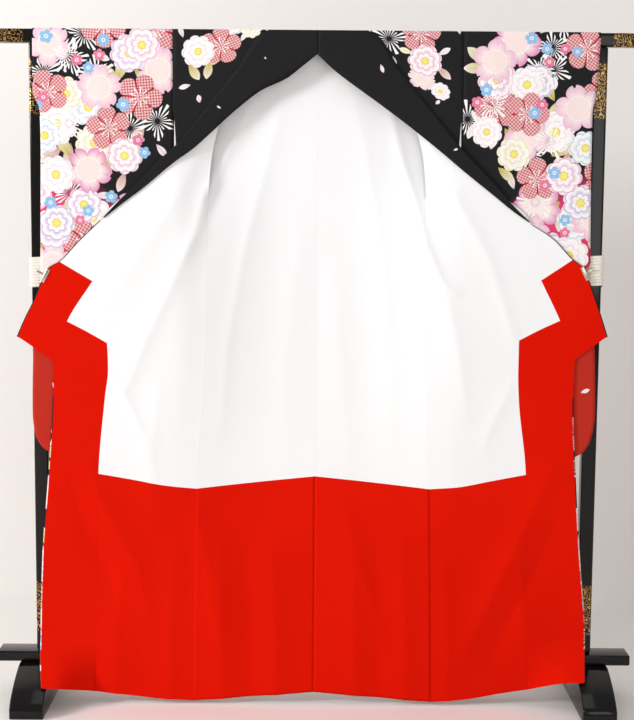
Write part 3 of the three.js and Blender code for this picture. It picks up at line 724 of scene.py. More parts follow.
# ---- The finish of the printed crepe ----
# Flowers lie over each other in a few layers. In each layer a face of cloth carries the place
# of its corners inside one flower (a UV map, 1 at its rim), its colour and its kind.
LAYERS = 5
KINDS = ["none", "cherry", "peony", "kanoko", "spider", "small", "leaf"]
KIND_STEP = 0.1

printed = Shader("printed_crepe", Roughness=0.75, Specular_IOR_Level=0.15)


def flower_layer(shader, layer):
    """The colour of one layer's flowers, and how far they cover what is under them."""
    uv = shader.node("ShaderNodeUVMap", {"uv_map": f"flower_{layer}"})
    u, v, _ = shader.split(uv)
    tint = shader.tree.nodes.new("ShaderNodeAttribute")
    tint.attribute_name = f"tint_{layer}"
    kind = Wire(shader, tint.outputs["Alpha"])
    tint = Wire(shader, tint.outputs["Color"])
    white = srgb(255, 252, 250)
    r = (u * u + v * v) ** 0.5
    angle = shader.node("ShaderNodeMath", {"operation": "ARCTAN2"}, [v, u])
    five = abs((angle * 2.5 + math.pi / 2).sine())
    lobes = 0.62 + 0.38 * five ** 0.5

    # A cherry blossom: notched petals, pale within, a ring of white dots.
    notched = lobes - 0.12 * five.rise(0.975, 1.0)
    beads = abs((angle * 12).sine()).rise(0.55, 0.7) * abs(r - 0.5).below(0.026)
    cherry = shader.mix((r / notched).rise(0.5, 1.05), srgb(253, 232, 228), tint)
    cherry = shader.mix(beads, cherry, white)
    cherry_mask = (notched - r).rise(0.0, 0.03)

    # A peony: rings of frilled petals, each darker at its foot, round a yellow heart.
    frill = abs((angle * 3.5).sine()) ** 0.5
    ring = (r * 2.7 - frill * 0.55 + 0.2).fract()
    peony = shader.mix(ring.rise(-0.1, 0.8), tint, white)
    peony = shader.mix(ring.below(0.07) * 0.45, peony, srgb(190, 96, 150))
    heart = (r + abs((angle * 8).sine()) * 0.03).rise(0.27, 0.24)
    yellow = shader.mix(abs((angle * 7).sine()).rise(0.75, 0.9) * abs(r - 0.2).below(0.03),
                        srgb(251, 236, 130), srgb(214, 170, 60))
    peony = shader.mix(heart, peony, yellow)
    peony_mask = (0.84 + 0.16 * abs((angle * 4.5).sine()) ** 0.5 - r).rise(0.0, 0.03)

    # A tie-dyed blossom: a lattice of pale dots on red, dark seams and white stamens.
    knots = [abs((u * 6 + v * 6).fract() - 0.5), abs((u * 6 - v * 6).fract() - 0.5)]
    knot = (knots[0] * knots[0] + knots[1] * knots[1]).below(0.16)
    kanoko = shader.mix(knot * 0.85, tint, srgb(246, 214, 212))
    kanoko = shader.mix(five.below(0.16) * r.rise(0.1, 0.2), kanoko, srgb(184, 22, 44))
    stamen = abs((angle * 4.5).sine()).rise(0.93, 0.97) * (r.rise(0.06, 0.1) * r.below(0.42))
    kanoko = shader.mix(stamen, kanoko, white)
    kanoko_mask = (lobes - r).rise(0.0, 0.03)

    # A spider chrysanthemum: white strokes that widen outwards, of uneven length.
    stroke = abs((angle * 10 + (angle * 3).sine() * 0.5).sine()) + r * 0.28
    length = 0.76 + 0.24 * (angle * 5 + 0.7).sine()
    spider_mask = stroke.rise(0.9, 0.99) * (length - r).rise(0.0, 0.04) * r.rise(0.12, 0.16)
    spider = shader.mix(r.rise(0.35, 0.12), white, srgb(176, 160, 176))

    # A small blossom with a white eye, and a leaf or a loose petal, pale towards its tip.
    small = shader.mix(abs(r - 0.22).rise(0.1, 0.04), tint, white)
    small_mask = (lobes - r).rise(0.0, 0.08)
    half_width = (1.0 - u * u) * (0.42 + 0.12 * u)
    veins = abs((u * 5 + abs(v) * -5).fract() - 0.5).below(0.08)
    leaf = shader.mix((abs(v).below(0.035) + veins).rise(0.0, 2.5), tint, srgb(120, 96, 60))
    leaf = shader.mix(u.rise(-1.4, 2.4), leaf, white)
    leaf_mask = (half_width - abs(v)).rise(0.0, 0.04)

    # In the order of KINDS.
    choices = [(cherry, cherry_mask), (peony, peony_mask), (kanoko, kanoko_mask),
               (spider, spider_mask), (small, small_mask), (leaf, leaf_mask)]
    colour, cover = choices[0]
    cover = cover * kind.rise(0.5 * KIND_STEP, 0.6 * KIND_STEP)
    for number, (shape, mask) in enumerate(choices[1:], start=2):
        chosen = 1.0 - kind.below((number - 0.5) * KIND_STEP)
        colour = shader.mix(chosen, colour, shape)
        cover = shader.node("ShaderNodeMix", None, {0: chosen, 2: cover, 3: mask})
    return colour, cover


def build_print(shader):
    """Black ground that turns rose and then red down the sleeve, with the flowers over it."""
    where = shader.split(shader.place())
    turned = shader.node("ShaderNodeAttribute", {"attribute_name": "ground"}, output=2)
    spots = [abs((where[0] * 190 + where[2] * 190).fract() - 0.5),
             abs((where[0] * 190 - where[2] * 190).fract() - 0.5)]
    spot = (spots[0] * spots[0] + spots[1] * spots[1]).below(0.07)
    rose = shader.mix(where[2].rise(1.20, 1.04), srgb(226, 70, 116), srgb(190, 34, 16))
    rose = shader.mix(spot * 0.25 * where[2].rise(1.1, 1.0), rose, srgb(236, 120, 104))
    ground = shader.mix(turned, srgb(31, 30, 32), rose)
    for layer in reversed(range(LAYERS)):
        colour, cover = flower_layer(shader, layer)
        ground = shader.mix(cover, ground, colour)
    shader.set("Base Color", ground)
    shader.bump(shader.noise(shader.place(), 480.0), 0.2, 0.0006)


build_print(printed)

# ---- The print, drawn flower by flower ----
# A motif is (kind, outwards, up, radius, turn in degrees, tint). In a spray its place is
# measured from the spray's own middle; the first motif named lies on top.
TINTS = {
    "rose": srgb(240, 194, 220), "blush": srgb(246, 222, 226), "lilac": srgb(224, 194, 232),
    "magenta": srgb(228, 144, 192), "cream": srgb(248, 240, 188), "ice": srgb(208, 230, 242),
    "sky": srgb(150, 196, 236), "pink": srgb(236, 128, 162), "red": srgb(204, 96, 106),
    "white": srgb(250, 240, 244), "olive": srgb(206, 190, 84), "tan": srgb(214, 164, 150),
    "mauve": srgb(206, 190, 232),
}
SPRAYS = {
    "garland": [
        ("peony", 4, 6, 37, 10, "lilac"), ("small", 52, 30, 13, 0, "sky"),
        ("small", 60, 2, 12, 20, "pink"), ("leaf", 34, -38, 26, -60, "olive"),
        ("leaf", 8, -48, 25, -100, "olive"), ("leaf", -24, -40, 24, -140, "olive"),
        ("cherry", -52, -26, 46, 35, "rose"), ("kanoko", -46, 52, 48, 15, "red"),
        ("spider", 66, -34, 38, 0, "white"), ("kanoko", 52, 58, 44, 50, "red"),
        ("leaf", -92, 22, 20, 160, "blush"), ("leaf", -8, 92, 18, 110, "blush"),
    ],
    "cluster": [
        ("peony", -34, 26, 38, 0, "ice"), ("peony", 26, -8, 40, 25, "white"),
        ("peony", -44, -42, 36, 50, "cream"), ("small", 66, 28, 13, 10, "sky"),
        ("small", 52, 44, 12, 40, "pink"), ("spider", 70, -50, 36, 20, "white"),
        ("leaf", 4, -66, 24, -80, "tan"), ("leaf", 36, -66, 26, -40, "tan"),
        ("peony", -4, -84, 38, 80, "rose"), ("kanoko", -68, 66, 44, 0, "red"),
        ("cherry", 44, 78, 42, 10, "rose"), ("leaf", 92, -14, 16, 20, "blush"),
    ],
    "drift": [
        ("spider", -44, 34, 38, 10, "white"), ("spider", -6, -4, 36, 40, "white"),
        ("small", -30, -16, 12, 0, "pink"), ("small", 28, 28, 14, 30, "sky"),
        ("small", -52, -30, 12, 15, "sky"), ("spider", 34, -40, 36, 0, "white"),
        ("kanoko", 52, 18, 46, 25, "red"), ("leaf", -16, 56, 16, 130, "blush"),
        ("leaf", -78, -10, 16, 200, "blush"), ("leaf", 12, -74, 15, -70, "white"),
        ("leaf", 70, -52, 20, -20, "tan"),
    ],
    "fall": [
        ("cherry", -20, 34, 50, 0, "magenta"), ("peony", 38, -22, 38, 30, "rose"),
        ("peony", -30, -52, 36, 60, "mauve"), ("leaf", 6, -68, 24, -80, "olive"),
        ("leaf", 70, 12, 24, 20, "olive"), ("leaf", 60, 34, 24, 60, "olive"),
        ("small", -70, 0, 12, 0, "sky"), ("small", -66, -24, 11, 30, "pink"),
        ("kanoko", 58, -74, 42, 20, "red"), ("leaf", -80, 40, 16, 150, "blush"),
        ("leaf", 20, 90, 16, 80, "blush"),
    ],
    "petals": [
        ("leaf", -40, 20, 14, 60, "blush"), ("leaf", 10, -14, 13, 140, "rose"),
        ("leaf", 46, 30, 12, 20, "white"), ("leaf", 4, 52, 13, -30, "white"),
    ],
}


def spray(name, across, up, turn=0, size=1.25, mirror=1):
    """The motifs of a spray that is set down on the cloth."""
    cosine, sine = math.cos(math.radians(turn)), math.sin(math.radians(turn))
    placed = []
    for kind, dx, dz, radius, angle, tint in SPRAYS[name]:
        dx *= mirror
        angle = angle if mirror > 0 else 180 - angle
        placed.append((kind, across + size * (dx * cosine - dz * sine),
                       up + size * (dx * sine + dz * cosine), radius * size, angle + turn, tint))
    return placed


def motifs_of(layout):
    """A layout holds motifs, and sprays as (name, outwards, up, turn, size, mirror)."""
    return [motif for entry in layout
            for motif in (spray(*entry) if entry[0] in SPRAYS else [entry])]


FULL = {"peony", "cherry", "kanoko"}  # nothing shows through their hearts
WHOLE_WITHIN = 0.6     # of the radius
LEAF_HALF_WIDTH = 0.6  # of its half length
TAKEN_WITHIN = 0.9     # a full flower takes the cloth up to here
MOST_COVERED = 0.62    # a full flower with more of it under others is left out
FALL_FROM = 600        # the ground is drawn for cloth at this distance outwards


def print_cloth(node, piece, layout, ground=None):
    """Lays motifs on a sheet: small blossoms on top, leaves at the bottom, the rest in turn.

    Each face of the cloth has a stack of its own, with one motif in each layer. The ground is
    (height where the black is gone, height where it is whole, its fall outwards).
    """
    sheet = SHEETS[node]
    corners = sheet["corners"] % sheet["across"].size
    across, up = sheet["across"].reshape(-1)[corners], sheet["drop"].reshape(-1)[corners]
    deepest = np.full(len(corners), -1)
    places = np.zeros((LAYERS, *corners.shape, 2))
    tints = np.zeros((LAYERS, *corners.shape, 4))
    hidden = np.zeros(len(corners), bool)
    taken = np.zeros(len(corners), bool)
    in_turn = sorted(
        motifs_of(layout), key=lambda motif: (motif[0] == "leaf") - (motif[0] == "small"))
    for kind, x, z, radius, turn, tint in in_turn:
        dx, dz = across - x, up - z
        cosine, sine = math.cos(math.radians(turn)), math.sin(math.radians(turn))
        local = np.stack([dx * cosine + dz * sine, dz * cosine - dx * sine], -1) / radius
        far = np.hypot(local[..., 0], local[..., 1])
        covered = (far.min(axis=1) < 1 + STEP / 4 / radius) & ~hidden
        if kind == "leaf":
            covered &= np.abs(local[..., 1]).min(axis=1) < LEAF_HALF_WIDTH
        if not covered.any():
            continue
        if kind in FULL and taken[far.min(axis=1) < TAKEN_WITHIN].mean() > MOST_COVERED:
            continue
        faces = np.flatnonzero(covered)
        layer = deepest[faces] + 1
        if layer.max() >= LAYERS:
            continue
        deepest[faces] = layer
        if kind in FULL:
            hidden |= far.max(axis=1) < WHOLE_WITHIN
            taken |= far.max(axis=1) < TAKEN_WITHIN
        places[layer, faces] = local[faces]
        tints[layer, faces] = (*TINTS[tint][:3], KINDS.index(kind) * KIND_STEP)
    for layer in range(LAYERS):
        place = piece.data.uv_layers.new(name=f"flower_{layer}", do_init=False)
        place.data.foreach_set("uv", places[layer].reshape(-1).astype(np.float32))
        shade = piece.data.color_attributes.new(f"tint_{layer}", "FLOAT_COLOR", "CORNER")
        shade.data.foreach_set("color", tints[layer].reshape(-1).astype(np.float32))
    turned = np.zeros(corners.shape)
    if ground:
        gone, whole, fall = ground
        turned = np.clip((whole - up + fall * (across - FALL_FROM)) / (whole - gone), 0, 1)
    share = piece.data.attributes.new("ground", "FLOAT", "CORNER")
    share.data.foreach_set("value", turned.reshape(-1).astype(np.float32))


# ---- The outer cloth of the opened body ----
# It faces backwards here. Its free edges stand past the lining as a fine black line.
BODY_PRINT = {
    "front_left": [
        ("cluster", 400, 330, 20), ("garland", 420, 540, 160), ("drift", 330, 190),
        ("fall", 470, 150, 60), ("petals", 360, 760), ("petals", 420, 900, 70),
    ],
    "front_right": [
        ("garland", 380, 360, -30), ("fall", 440, 500, 80), ("cluster", 350, 160, 130),
        ("drift", 480, 220, 40), ("petals", 400, 820, 30), ("petals", 330, 980, 110),
    ],
    "okumi_left": [
        ("fall", 600, 340, 10), ("cluster", 590, 150, -40), ("garland", 600, 560, 90),
        ("petals", 580, 760),
    ],
    "okumi_right": [
        ("cluster", 580, 420, 60), ("garland", 600, 200, 0), ("drift", 560, 600, 30),
        ("petals", 560, 800, 60),
    ],
    "collar_end_left": [
        ("petals", 620, 1010),
    ],
    "collar_end_right": [
        ("petals", 600, 980, 120),
    ],
    "back_left": [
        ("drift", 210, 1420), ("garland", 110, 1500, 40, 1.1), ("cluster", 90, 330),
        ("fall", 230, 280, 90), ("garland", 130, 520, 200), ("drift", 240, 500, 30),
        ("cluster", 60, 130, 70), ("fall", 190, 90, 180), ("petals", 150, 700),
        ("petals", 80, 900, 50), ("petals", 200, 1180, 90),
    ],
    "back_right": [
        ("fall", 60, 1470, 20, 1.1), ("cluster", 250, 1450, 60, 1.1), ("garland", 60, 420, 60),
        ("drift", 190, 380, 10), ("cluster", 240, 220, 150), ("fall", 120, 180, 30),
        ("garland", 240, 60, 0), ("drift", 40, 60, 120), ("petals", 210, 600, 40),
        ("petals", 120, 780, 100), ("petals", 70, 1120, 10), ("petals", 220, 980, 160),
    ],
}
HEM_GROUND = (140, 420, 0)
for side, hand in SIDES.items():
    sheets = OPENED[side]
    okumi, marks = sheets["okumi"]
    free = np.arange(len(okumi)) >= marks[OKUMI_FREE]
    for name, sheet in (("front", closed_up(sheets["front"][0])),
                        ("okumi", closed_up(okumi, SEAM, np.where(free, ROLL, -SEAM))),
                        ("collar_end", closed_up(sheets["collar_end"][0], SEAM, ROLL))):
        node = f"{name}_{side}"
        piece = shell(node, hand, *moved_back(sheet, *OUTER))
        print_cloth(node, piece, BODY_PRINT[node], HEM_GROUND)
        show(piece, printed, node)

# ---- The back ----
# It starts on the rod's ridge, comes down behind the rod and is cut away round the neck.
OVER_ROD = [  # Y and Z of the outer face, then of the inner one
    (0.05, 1645.3, 0.05, 1644.3), (6.5, 1645.3, 6.4, 1644.3), (12.6, 1645.3, 12.2, 1644.3),
    (14.9, 1643.9, 14.2, 1643.1), (16.4, 1641.6, 15.4, 1641.2),
]
NECK = {"half": 124, "depth": 42}
RIDGE = 1645.3


def faces_over_rod(rows, facing, xs):
    """Both faces of the cloth over the rod, the outer one first."""
    return (np.array([[(x, facing * y, z) for x in xs] for y, z, _, _ in rows]),
            np.array([[(x, facing * y, z) for x in xs] for _, _, y, z in rows]))


def over_rod(facing, xs, outer, inner):
    """Puts the rows over the rod above both faces of a hanging sheet."""
    top_outer, top_inner = faces_over_rod(OVER_ROD, facing, xs)
    return np.concatenate([top_outer, outer]), np.concatenate([top_inner, inner])


def cut_round_neck(grid):
    """Starts each column inside the neckline lower down, on the curve of the neck."""
    for column in range(grid.shape[1]):
        x = grid[0, column, 0]
        if x < NECK["half"]:
            line = grid[:, column].copy()
            along = np.concatenate([[0], np.cumsum(np.linalg.norm(np.diff(line, axis=0), axis=1))])
            edge = RIDGE - NECK["depth"] * math.sqrt(1 - (x / NECK["half"]) ** 2)
            hanging = len(OVER_ROD) - 1
            start = np.interp(-edge, -line[hanging:, 2], along[hanging:])
            at = start + along * (along[-1] - start) / along[-1]
            grid[:, column] = np.stack([np.interp(at, along, line[:, n]) for n in range(3)], -1)
    return grid


for side, hand in SIDES.items():
    back = closed_up(OPENED[side]["back"][0])
    inner, outer = moved_back(back, *BACK_OUTER)
    outer, inner = over_rod(1, back[0, :, 0], outer, inner)
    piece = shell(f"back_{side}", hand, cut_round_neck(outer), cut_round_neck(inner))
    print_cloth(f"back_{side}", piece, BODY_PRINT[f"back_{side}"], HEM_GROUND)
    show(piece, printed, f"back_{side}")

# ---- The front shoulders ----
# The top of each front still hangs with its outer face forwards, over the rod and down to
# the collar, and is cut on the slant of the collar seam.
SHOULDER_ROWS = [
    (150, 347, -16.6, 1598),
    (226, 347, -16.8, 1500),
    (254, 347, -17, 1465),
    (290, 342, -17.2, 1418),
    (329, 339, -17.6, 1366),
]
ARMHOLE = 347
SHOULDER_START = (125, 235)  # its inner edge on the rod, and its middle
SHOULDER_PRINT = {
    "left": [
        ("peony", 286, 1577, 40, 15, "white"), ("leaf", 262, 1530, 26, -80, "olive"),
        ("leaf", 296, 1528, 26, -120, "olive"), ("leaf", 248, 1552, 22, -20, "olive"),
        ("kanoko", 232, 1590, 50, 20, "red"), ("leaf", 326, 1624, 15, 70, "blush"),
        ("leaf", 318, 1494, 15, -10, "white"), ("leaf", 284, 1452, 14, 80, "blush"),
        ("peony", 160, 1634, 26, 0, "cream"), ("peony", 214, 1650, 40, 40, "ice"),
        ("leaf", 178, 1612, 14, 120, "white"),
    ],
    "right": [
        ("peony", 254, 1556, 42, 0, "rose"), ("leaf", 208, 1580, 18, 160, "cream"),
        ("kanoko", 244, 1624, 48, 10, "red"), ("spider", 168, 1610, 46, 0, "white"),
        ("leaf", 300, 1582, 17, 30, "white"), ("leaf", 300, 1530, 22, -40, "tan"),
        ("peony", 292, 1482, 24, 30, "white"), ("leaf", 268, 1496, 18, -100, "blush"),
        ("cherry", 246, 1506, 34, 10, "blush"), ("leaf", 180, 1548, 16, -80, "white"),
        ("leaf", 334, 1636, 14, 100, "blush"), ("leaf", 286, 1448, 10, 60, "white"),
    ],
}
for side, hand in SIDES.items():
    start, middle = SHOULDER_START
    seam = ARMHOLE - SEAM
    rod_y, rod_z = OVER_ROD[-1][:2]
    table = [[(x, -rod_y, rod_z) for x in (start, middle, seam)]]
    for collar_x, sleeve_x, y, z in SHOULDER_ROWS:
        sleeve_x -= SEAM
        table.append([(collar_x, y, z), ((collar_x + sleeve_x) / 2, y, z), (sleeve_x, y, z)])
    hanging, _ = fine(table)
    outer, inner = hanging[1:], hanging[1:] + (0, CLOTH, 0)
    outer, inner = over_rod(-1, hanging[0, :, 0], outer, inner)
    piece = shell(f"front_shoulder_{side}", hand, outer, inner)
    print_cloth(f"front_shoulder_{side}", piece, SHOULDER_PRINT[side])
    show(piece, printed, f"front_shoulder_{side}")

# ---- The collar ----
# Two bands of printed crepe come down from the nape, one on each side. Each is a folded
# strip that is sewn to the shoulder along one edge and free along the other.
COLLAR_ROWS = {
    "left": [
        (SEAM, -18.6, 1644, SEAM, -18.6, 1590),
        (62, -18.6, 1644, 40, -18.8, 1558),
        (124, -18.8, 1641, 75, -19, 1531),
        (194, -19, 1553, 134, -19.4, 1503),
        (234, -19.2, 1503, 191, -19.8, 1460),
        (284, -20.4, 1440, 256, -21, 1401),
        (334, -26.6, 1377, 298, -26.4, 1363),
        (372, -28, 1342, 344, -27.5, 1330),
        (430, -29.4, 1282, 416, -29.2, 1270),
        (476, -30.4, 1238, 468, -30.2, 1231),
        (513, -31, 1199, 511, -31, 1197),
    ],
    "right": [
        (SEAM, -18.6, 1644, SEAM, -18.6, 1586),
        (61, -18.6, 1644, 36, -18.8, 1553),
        (124, -18.8, 1641, 66, -19, 1530),
        (194, -19, 1556, 134, -19.4, 1482),
        (236, -19.2, 1504, 191, -19.8, 1441),
        (288, -20.4, 1440, 262, -21, 1387),
        (334, -26.6, 1381, 304, -26.4, 1353),
        (372, -28, 1340, 345, -27.5, 1319),
        (436, -29.4, 1273, 420, -29.2, 1260),
        (482, -30.4, 1222, 472, -30.2, 1219),
        (511, -31, 1196, 509, -31, 1194),
    ],
}
COLLAR_PRINT = {
    "left": [("leaf", 236, 1462, 6, 30, "blush"), ("leaf", 122, 1580, 7, -20, "white")],
    "right": [("leaf", 152, 1556, 11, -70, "blush"), ("leaf", 330, 1366, 6, 20, "white")],
}
for side, hand in SIDES.items():
    table = []
    for row in COLLAR_ROWS[side]:
        seam, free = points_of(row)
        table.append([seam, (seam + free) / 2, free])
    band, _ = fine(table)
    piece = shell(f"collar_{side}", hand, band, band + (0, CLOTH, 0))
    SHEETS[f"collar_{side}"]["drop"] = band[..., 2]
    print_cloth(f"collar_{side}", piece, COLLAR_PRINT[side])
    show(piece, printed, f"collar_{side}")

# The middle of the collar lies over the rod at the nape.
NAPE_HALF = 120
NAPE_COLUMNS = 24
NAPE = [  # Y and Z of the outer face, then of the inner one
    (-17.3, 1641.4, -16.3, 1641), (-16, 1644, -15.2, 1643.2), (-13.4, 1645.3, -12.9, 1644.3),
    (0, 1645.3, 0, 1644.3), (13.4, 1645.3, 12.9, 1644.3), (17, 1644, 16.2, 1643.2),
    (18.8, 1640.4, 17.8, 1640), (19.8, 1626, 18.8, 1626), (20.4, 1610, 19.4, 1610),
    (20.4, 1595, 19.4, 1595), (20.4, 1580, 19.4, 1580),
]
xs = np.linspace(-NAPE_HALF, NAPE_HALF, NAPE_COLUMNS)
piece = shell("collar_nape", 1, *faces_over_rod(NAPE, 1, xs))
print_cloth("collar_nape", piece, [])
show(piece, printed, "collar_nape")

# ---- The sleeves ----
# Each is one length folded over the rod. Rows hold the height, the edge at the body and its Y,
# the cuff edge on the left and on the right, and its Y.
SLEEVE_ROWS = {
    "sleeve_front": [
        (1628, 347, -16.5, 680, 671, -19.2),
        (1500, 347, -17, 681, 663, -20),
        (1452, 347, -17.4, 664, 655, -23),
        (1380, 347, -18, 662, 655, -26),
        (1235, 346, -19, 664, 657, -26),
        (1072, 343, -19, 667, 661, -26.4),
        (960, 344, -19, 678, 669, -27),
        (878, 345, -19, 686, 677, -27),
        (725, 346, -19, 690, 682, -27),
        (670, 350, -19, 684, 674, -27),
        (635, 360, -19, 664, 655, -27),
        (617, 384, -19, 628, 622, -26),
    ],
    "sleeve_back": [
        (1628, 347, 17.8, 687, 680, 17.8),
        (1600, 347, 17.8, 687, 680, 17.8),
        (1480, 347, 17.4, 687, 680, 17.8),
        (1444, 347, 17, 651, 651, 17.8),
        (1412, 347, 16, 649, 649, 0),
        (1384, 347, 15, 649, 649, -22),
        (1345, 347, 14, 660, 654, -23.9),
        (1072, 343, 5, 665, 660, -24.2),
        (878, 345, -3, 684, 675, -24.9),
        (725, 346, -10, 688, 680, -24.9),
        (670, 350, -14, 682, 672, -24.9),
        (635, 360, -16.6, 662, 653, -24.9),
        (617, 384, -17.2, 626, 620, -24.2),
    ],
}
SLEEVE_CREASES = {
    "sleeve_front": [
        (26, 3.0, [(420, 1610), (430, 1480), (446, 1300)]),
        (22, 2.2, [(600, 1600), (590, 1470), (600, 1330), (612, 1180)]),
        (30, 2.4, [(520, 1590), (516, 1450), (520, 1330)]),
        (20, 1.2, [(640, 1100), (648, 900), (640, 700)]),
    ],
    "sleeve_back": [
        (30, -3.0, [(440, 1600), (450, 1420), (446, 1200)]),
        (34, -3.0, [(560, 1600), (556, 1500)]),
    ],
}
SLEEVE_PRINT = {
    "left": [
        ("cherry", 522, 1492, 56, 20, "rose"), ("kanoko", 426, 1470, 56, 40, "red"),
        ("peony", 462, 1330, 44, 10, "rose"), ("peony", 626, 1282, 46, 0, "white"),
        ("cherry", 548, 1296, 58, 50, "magenta"), ("kanoko", 500, 1396, 54, 10, "red"),
        ("kanoko", 646, 1480, 54, 0, "red"), ("spider", 594, 1404, 46, 0, "white"),
        ("peony", 652, 1374, 42, 20, "ice"), ("leaf", 596, 1210, 28, -60, "olive"),
        ("peony", 560, 1212, 44, 30, "lilac"), ("leaf", 556, 1352, 28, -30, "olive"),
        ("leaf", 584, 1530, 28, 200, "tan"), ("leaf", 470, 1268, 26, -70, "tan"),
        ("leaf", 500, 1526, 34, 30, "olive"), ("leaf", 470, 1534, 32, 110, "olive"),
        ("leaf", 606, 1352, 34, 60, "olive"), ("leaf", 640, 1326, 32, 10, "tan"),
        ("leaf", 506, 1300, 34, -80, "olive"), ("leaf", 430, 1380, 32, -60, "tan"),
        ("spider", 590, 1560, 46, 20, "white"), ("peony", 420, 1592, 44, 40, "rose"),
        ("cherry", 640, 1592, 54, 60, "rose"), ("peony", 600, 1476, 42, 0, "cream"),
        ("garland", 446, 1566), ("drift", 612, 1576), ("cluster", 590, 1412),
        ("drift", 452, 1404, 30), ("fall", 626, 1242, 30),
        ("garland", 640, 1140, 60), ("cluster", 530, 1150, 90),
        ("petals", 650, 960, 20, 1.0), ("garland", 440, 1010, 10),
        ("petals", 620, 760, 90, 1.0), ("cluster", 460, 800, 170),
    ],
    "right": [
        ("peony", 404, 1394, 38, 0, "white"), ("peony", 470, 1342, 42, 30, "cream"),
        ("peony", 590, 1290, 46, 10, "rose"), ("kanoko", 528, 1282, 52, 20, "red"),
        ("peony", 640, 1356, 42, 50, "ice"), ("kanoko", 500, 1436, 54, 0, "red"),
        ("cherry", 622, 1450, 58, 30, "rose"), ("spider", 556, 1372, 46, 0, "white"),
        ("spider", 414, 1460, 44, 20, "white"), ("leaf", 372, 1484, 26, -70, "olive"),
        ("leaf", 378, 1430, 20, -50, "white"), ("leaf", 366, 1396, 20, -110, "white"),
        ("leaf", 560, 1430, 28, 220, "tan"), ("leaf", 452, 1294, 26, -40, "olive"),
        ("kanoko", 640, 1590, 54, 10, "red"), ("peony", 632, 1226, 44, 20, "mauve"),
        ("leaf", 520, 1392, 34, 60, "olive"), ("leaf", 548, 1496, 34, 120, "olive"),
        ("leaf", 586, 1352, 32, 30, "olive"), ("leaf", 470, 1396, 32, 100, "tan"),
        ("leaf", 660, 1298, 34, 80, "olive"), ("spider", 560, 1540, 46, 40, "white"),
        ("peony", 498, 1506, 44, 20, "white"), ("cherry", 420, 1560, 54, 10, "rose"),
        ("fall", 462, 1560, 20, 1.25, -1), ("drift", 548, 1596, 20, 1.15, -1),
        ("fall", 618, 1520, -30, 1.25, -1), ("garland", 450, 1436, -20, 1.25, -1),
        ("cluster", 600, 1404, 0, 1.25, -1), ("garland", 616, 1240, -20, 1.25, -1),
        ("cluster", 620, 1130, 50, 1.25, -1), ("fall", 510, 1170, 10, 1.25, -1),
        ("petals", 640, 950, 60, 1.0), ("garland", 450, 960, 120, 1.25, -1),
        ("petals", 610, 740, 0, 1.0), ("cluster", 450, 760, 20, 1.25, -1),
    ],
}
SLEEVE_GROUND = (1215, 1290, 0.4)
SLEEVE_COLUMNS = (0, 0.25, 0.5, 0.75, 1)
for side, hand in SIDES.items():
    for name, facing in (("sleeve_front", -1), ("sleeve_back", 1)):
        table = []
        for z, inner_x, inner_y, outer_left, outer_right, outer_y in SLEEVE_ROWS[name]:
            start = np.array([inner_x + SEAM, inner_y, z])
            end = np.array([outer_left if side == "left" else outer_right, outer_y, z])
            table.append([start + (end - start) * t for t in SLEEVE_COLUMNS])
        hanging, _ = fine(table)
        hanging[..., 1] -= drape(SLEEVE_CREASES[name], hanging[..., 0], hanging[..., 2])
        near, far = moved_back(hanging, 0, CLOTH)
        outer, inner = (near, far) if facing < 0 else (far, near)
        outer, inner = over_rod(facing, hanging[0, :, 0], outer, inner)
        node = f"{name}_{side}"
        piece = shell(node, hand, outer, inner)
        print_cloth(node, piece, SLEEVE_PRINT[side], SLEEVE_GROUND)
        show(piece, printed, node)

# A narrow red edge shows where the sleeve's lining is rolled out along the open cuff.
CUFF_EDGE = {"y": 17.8, "top": 1630, "bottom": 1484, "rows": 12, "across": (0, 1.5, 3)}
heights = np.linspace(CUFF_EDGE["top"], CUFF_EDGE["bottom"], CUFF_EDGE["rows"])
for side, hand in SIDES.items():
    start = SLEEVE_ROWS["sleeve_back"][0][3 if side == "left" else 4] + SEAT
    grid = np.array([[(start + x, CUFF_EDGE["y"], z) for x in CUFF_EDGE["across"]]
                     for z in heights])
    node = f"cuff_edge_{side}"
    show(shell(node, hand, grid, grid + (0, CLOTH, 0)), red_crepe, node)

# ---- The clips ----
# A jaw of spring steel takes the edge of the collar. Its stem hooks into the cord on the post.
# Each is built at the origin, leaned, handed and then put in its place.
CLIPS = {"left": (653, 1057, 0.48), "right": (646, 1072, 0.46)}  # outwards, up, lean
PLATES = [  # place and size: the jaw's two leaves, the stem, its hook and the jaw's lip
    ((0.6, -32.35, 0), (8.4, 1.2, 34)), ((0.6, -27.75, 0), (8.4, 1.2, 34)),
    ((14.8, -27.75, 0), (20, 1.4, 5)), ((24.1, -25.2, 0), (1.4, 5.6, 5)),
    ((-3.0, -32.9, 0), (1.6, 0.8, 34)),
]
PINS = [  # place, radius and length: the hinge and its two heads
    ((4.1, -30.05, 0), 2.3, 38), ((4.1, -30.05, 18.4), 3.0, 1.6),
    ((4.1, -30.05, -18.4), 3.0, 1.6),
]

steel = Shader("clip_steel", Base_Color=srgb(205, 198, 180), Metallic=1.0)
steel.set("Roughness", 0.22 + 0.10 * steel.noise(steel.place((1, 1, 6)), 60.0))

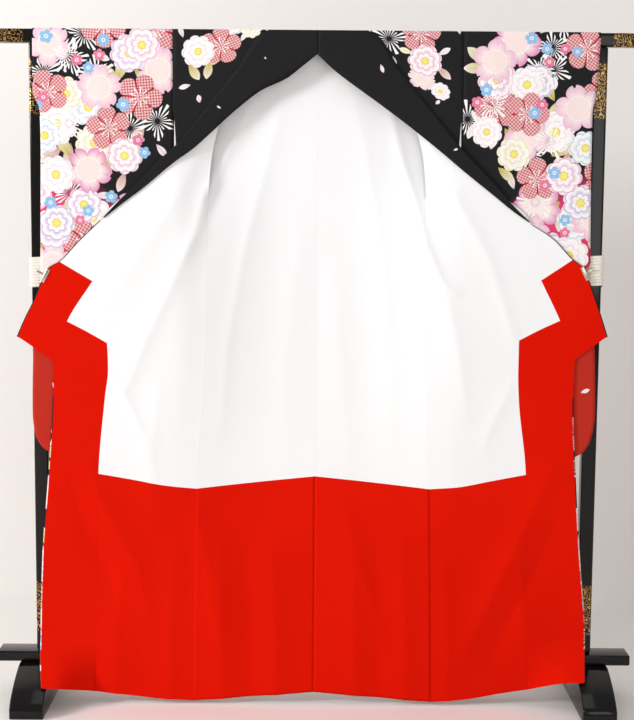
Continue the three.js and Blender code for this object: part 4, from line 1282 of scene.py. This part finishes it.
for side, hand in SIDES.items():
    out, up, lean = CLIPS[side]
    deselect()
    parts = []
    for place, size in PLATES:
        bpy.ops.mesh.primitive_cube_add(size=1, location=[c * MM for c in place])
        plate = bpy.context.object
        plate.scale = [c * MM for c in size]
        apply_transform(location=True, scale=True)
        soften(plate, 0.35, 2)
        parts.append(plate)
    for place, radius, length in PINS:
        bpy.ops.mesh.primitive_cylinder_add(
            vertices=32, radius=radius * MM, depth=length * MM, location=[c * MM for c in place])
        parts.append(bpy.context.object)
    deselect()
    for part in parts:
        part.select_set(True)
    bpy.context.view_layer.objects.active = parts[0]
    bpy.ops.object.join()
    clip = bpy.context.object
    clip.name = f"steel_clip_{side}"
    apply_transform(location=True, rotation=True, scale=True)
    clip.rotation_euler = (0, -lean, 0)
    apply_transform(rotation=True)
    clip.scale = (hand, 1, 1)
    apply_transform(scale=True)
    clip.location = (hand * out * MM, 0, up * MM)
    apply_transform(location=True)
    bpy.ops.object.mode_set(mode="EDIT")
    faces_outwards()
    bpy.ops.object.mode_set(mode="OBJECT")
    bpy.ops.object.shade_smooth_by_angle(angle=math.radians(35))
    show(clip, steel, f"clip_{side}")

# ---- The cut of each sheet, as far as it shows ----
# Width, length and flat area in metres, without seam allowances, and what carries it.
CUT = {
    "back": (0.346, 1.66, 0.475, "draped", "wood_rod"),
    "back_lining": (0.346, 1.08, 0.304, "hung", "silk_back_{side}"),
    "back_hem_lining": (0.300, 0.54, 0.157, "hung", "silk_back_{side}"),
    "front": (0.278, 1.51, 0.318, "hung", "silk_back_{side}"),
    "front_lining": (0.278, 0.97, 0.189, "hung", "silk_front_{side}"),
    "front_hem_lining": (0.243, 0.54, 0.129, "hung", "silk_front_{side}"),
    "okumi": (0.158, 1.03, 0.124, "hung", "silk_front_{side}"),
    "okumi_lining": (0.110, 0.154, 0.0068, "hung", "silk_okumi_{side}"),
    "okumi_hem_lining": (0.155, 0.92, 0.115, "hung", "silk_okumi_{side}"),
    "collar_end": (0.107, 0.368, 0.0275, "hung", "steel_clip_{side}"),
    "collar_lining": (0.090, 0.149, 0.0064, "hung", "silk_collar_end_{side}"),
    "collar_end_lining": (0.105, 0.219, 0.0203, "hung", "silk_collar_end_{side}"),
    "collar": (0.128, 0.717, 0.038, "hung", "silk_collar_nape"),
    "front_shoulder": (0.222, 0.361, 0.0378, "draped", "wood_rod"),
    "sleeve_front": (0.344, 1.07, 0.338, "draped", "wood_rod"),
    "sleeve_back": (0.342, 1.09, 0.341, "draped", "wood_rod"),
}
for side in SIDES:
    for name, (width, length, area, held, carrier) in CUT.items():
        goes_with = [f"silk_cuff_edge_{side}"] if name == "sleeve_back" else []
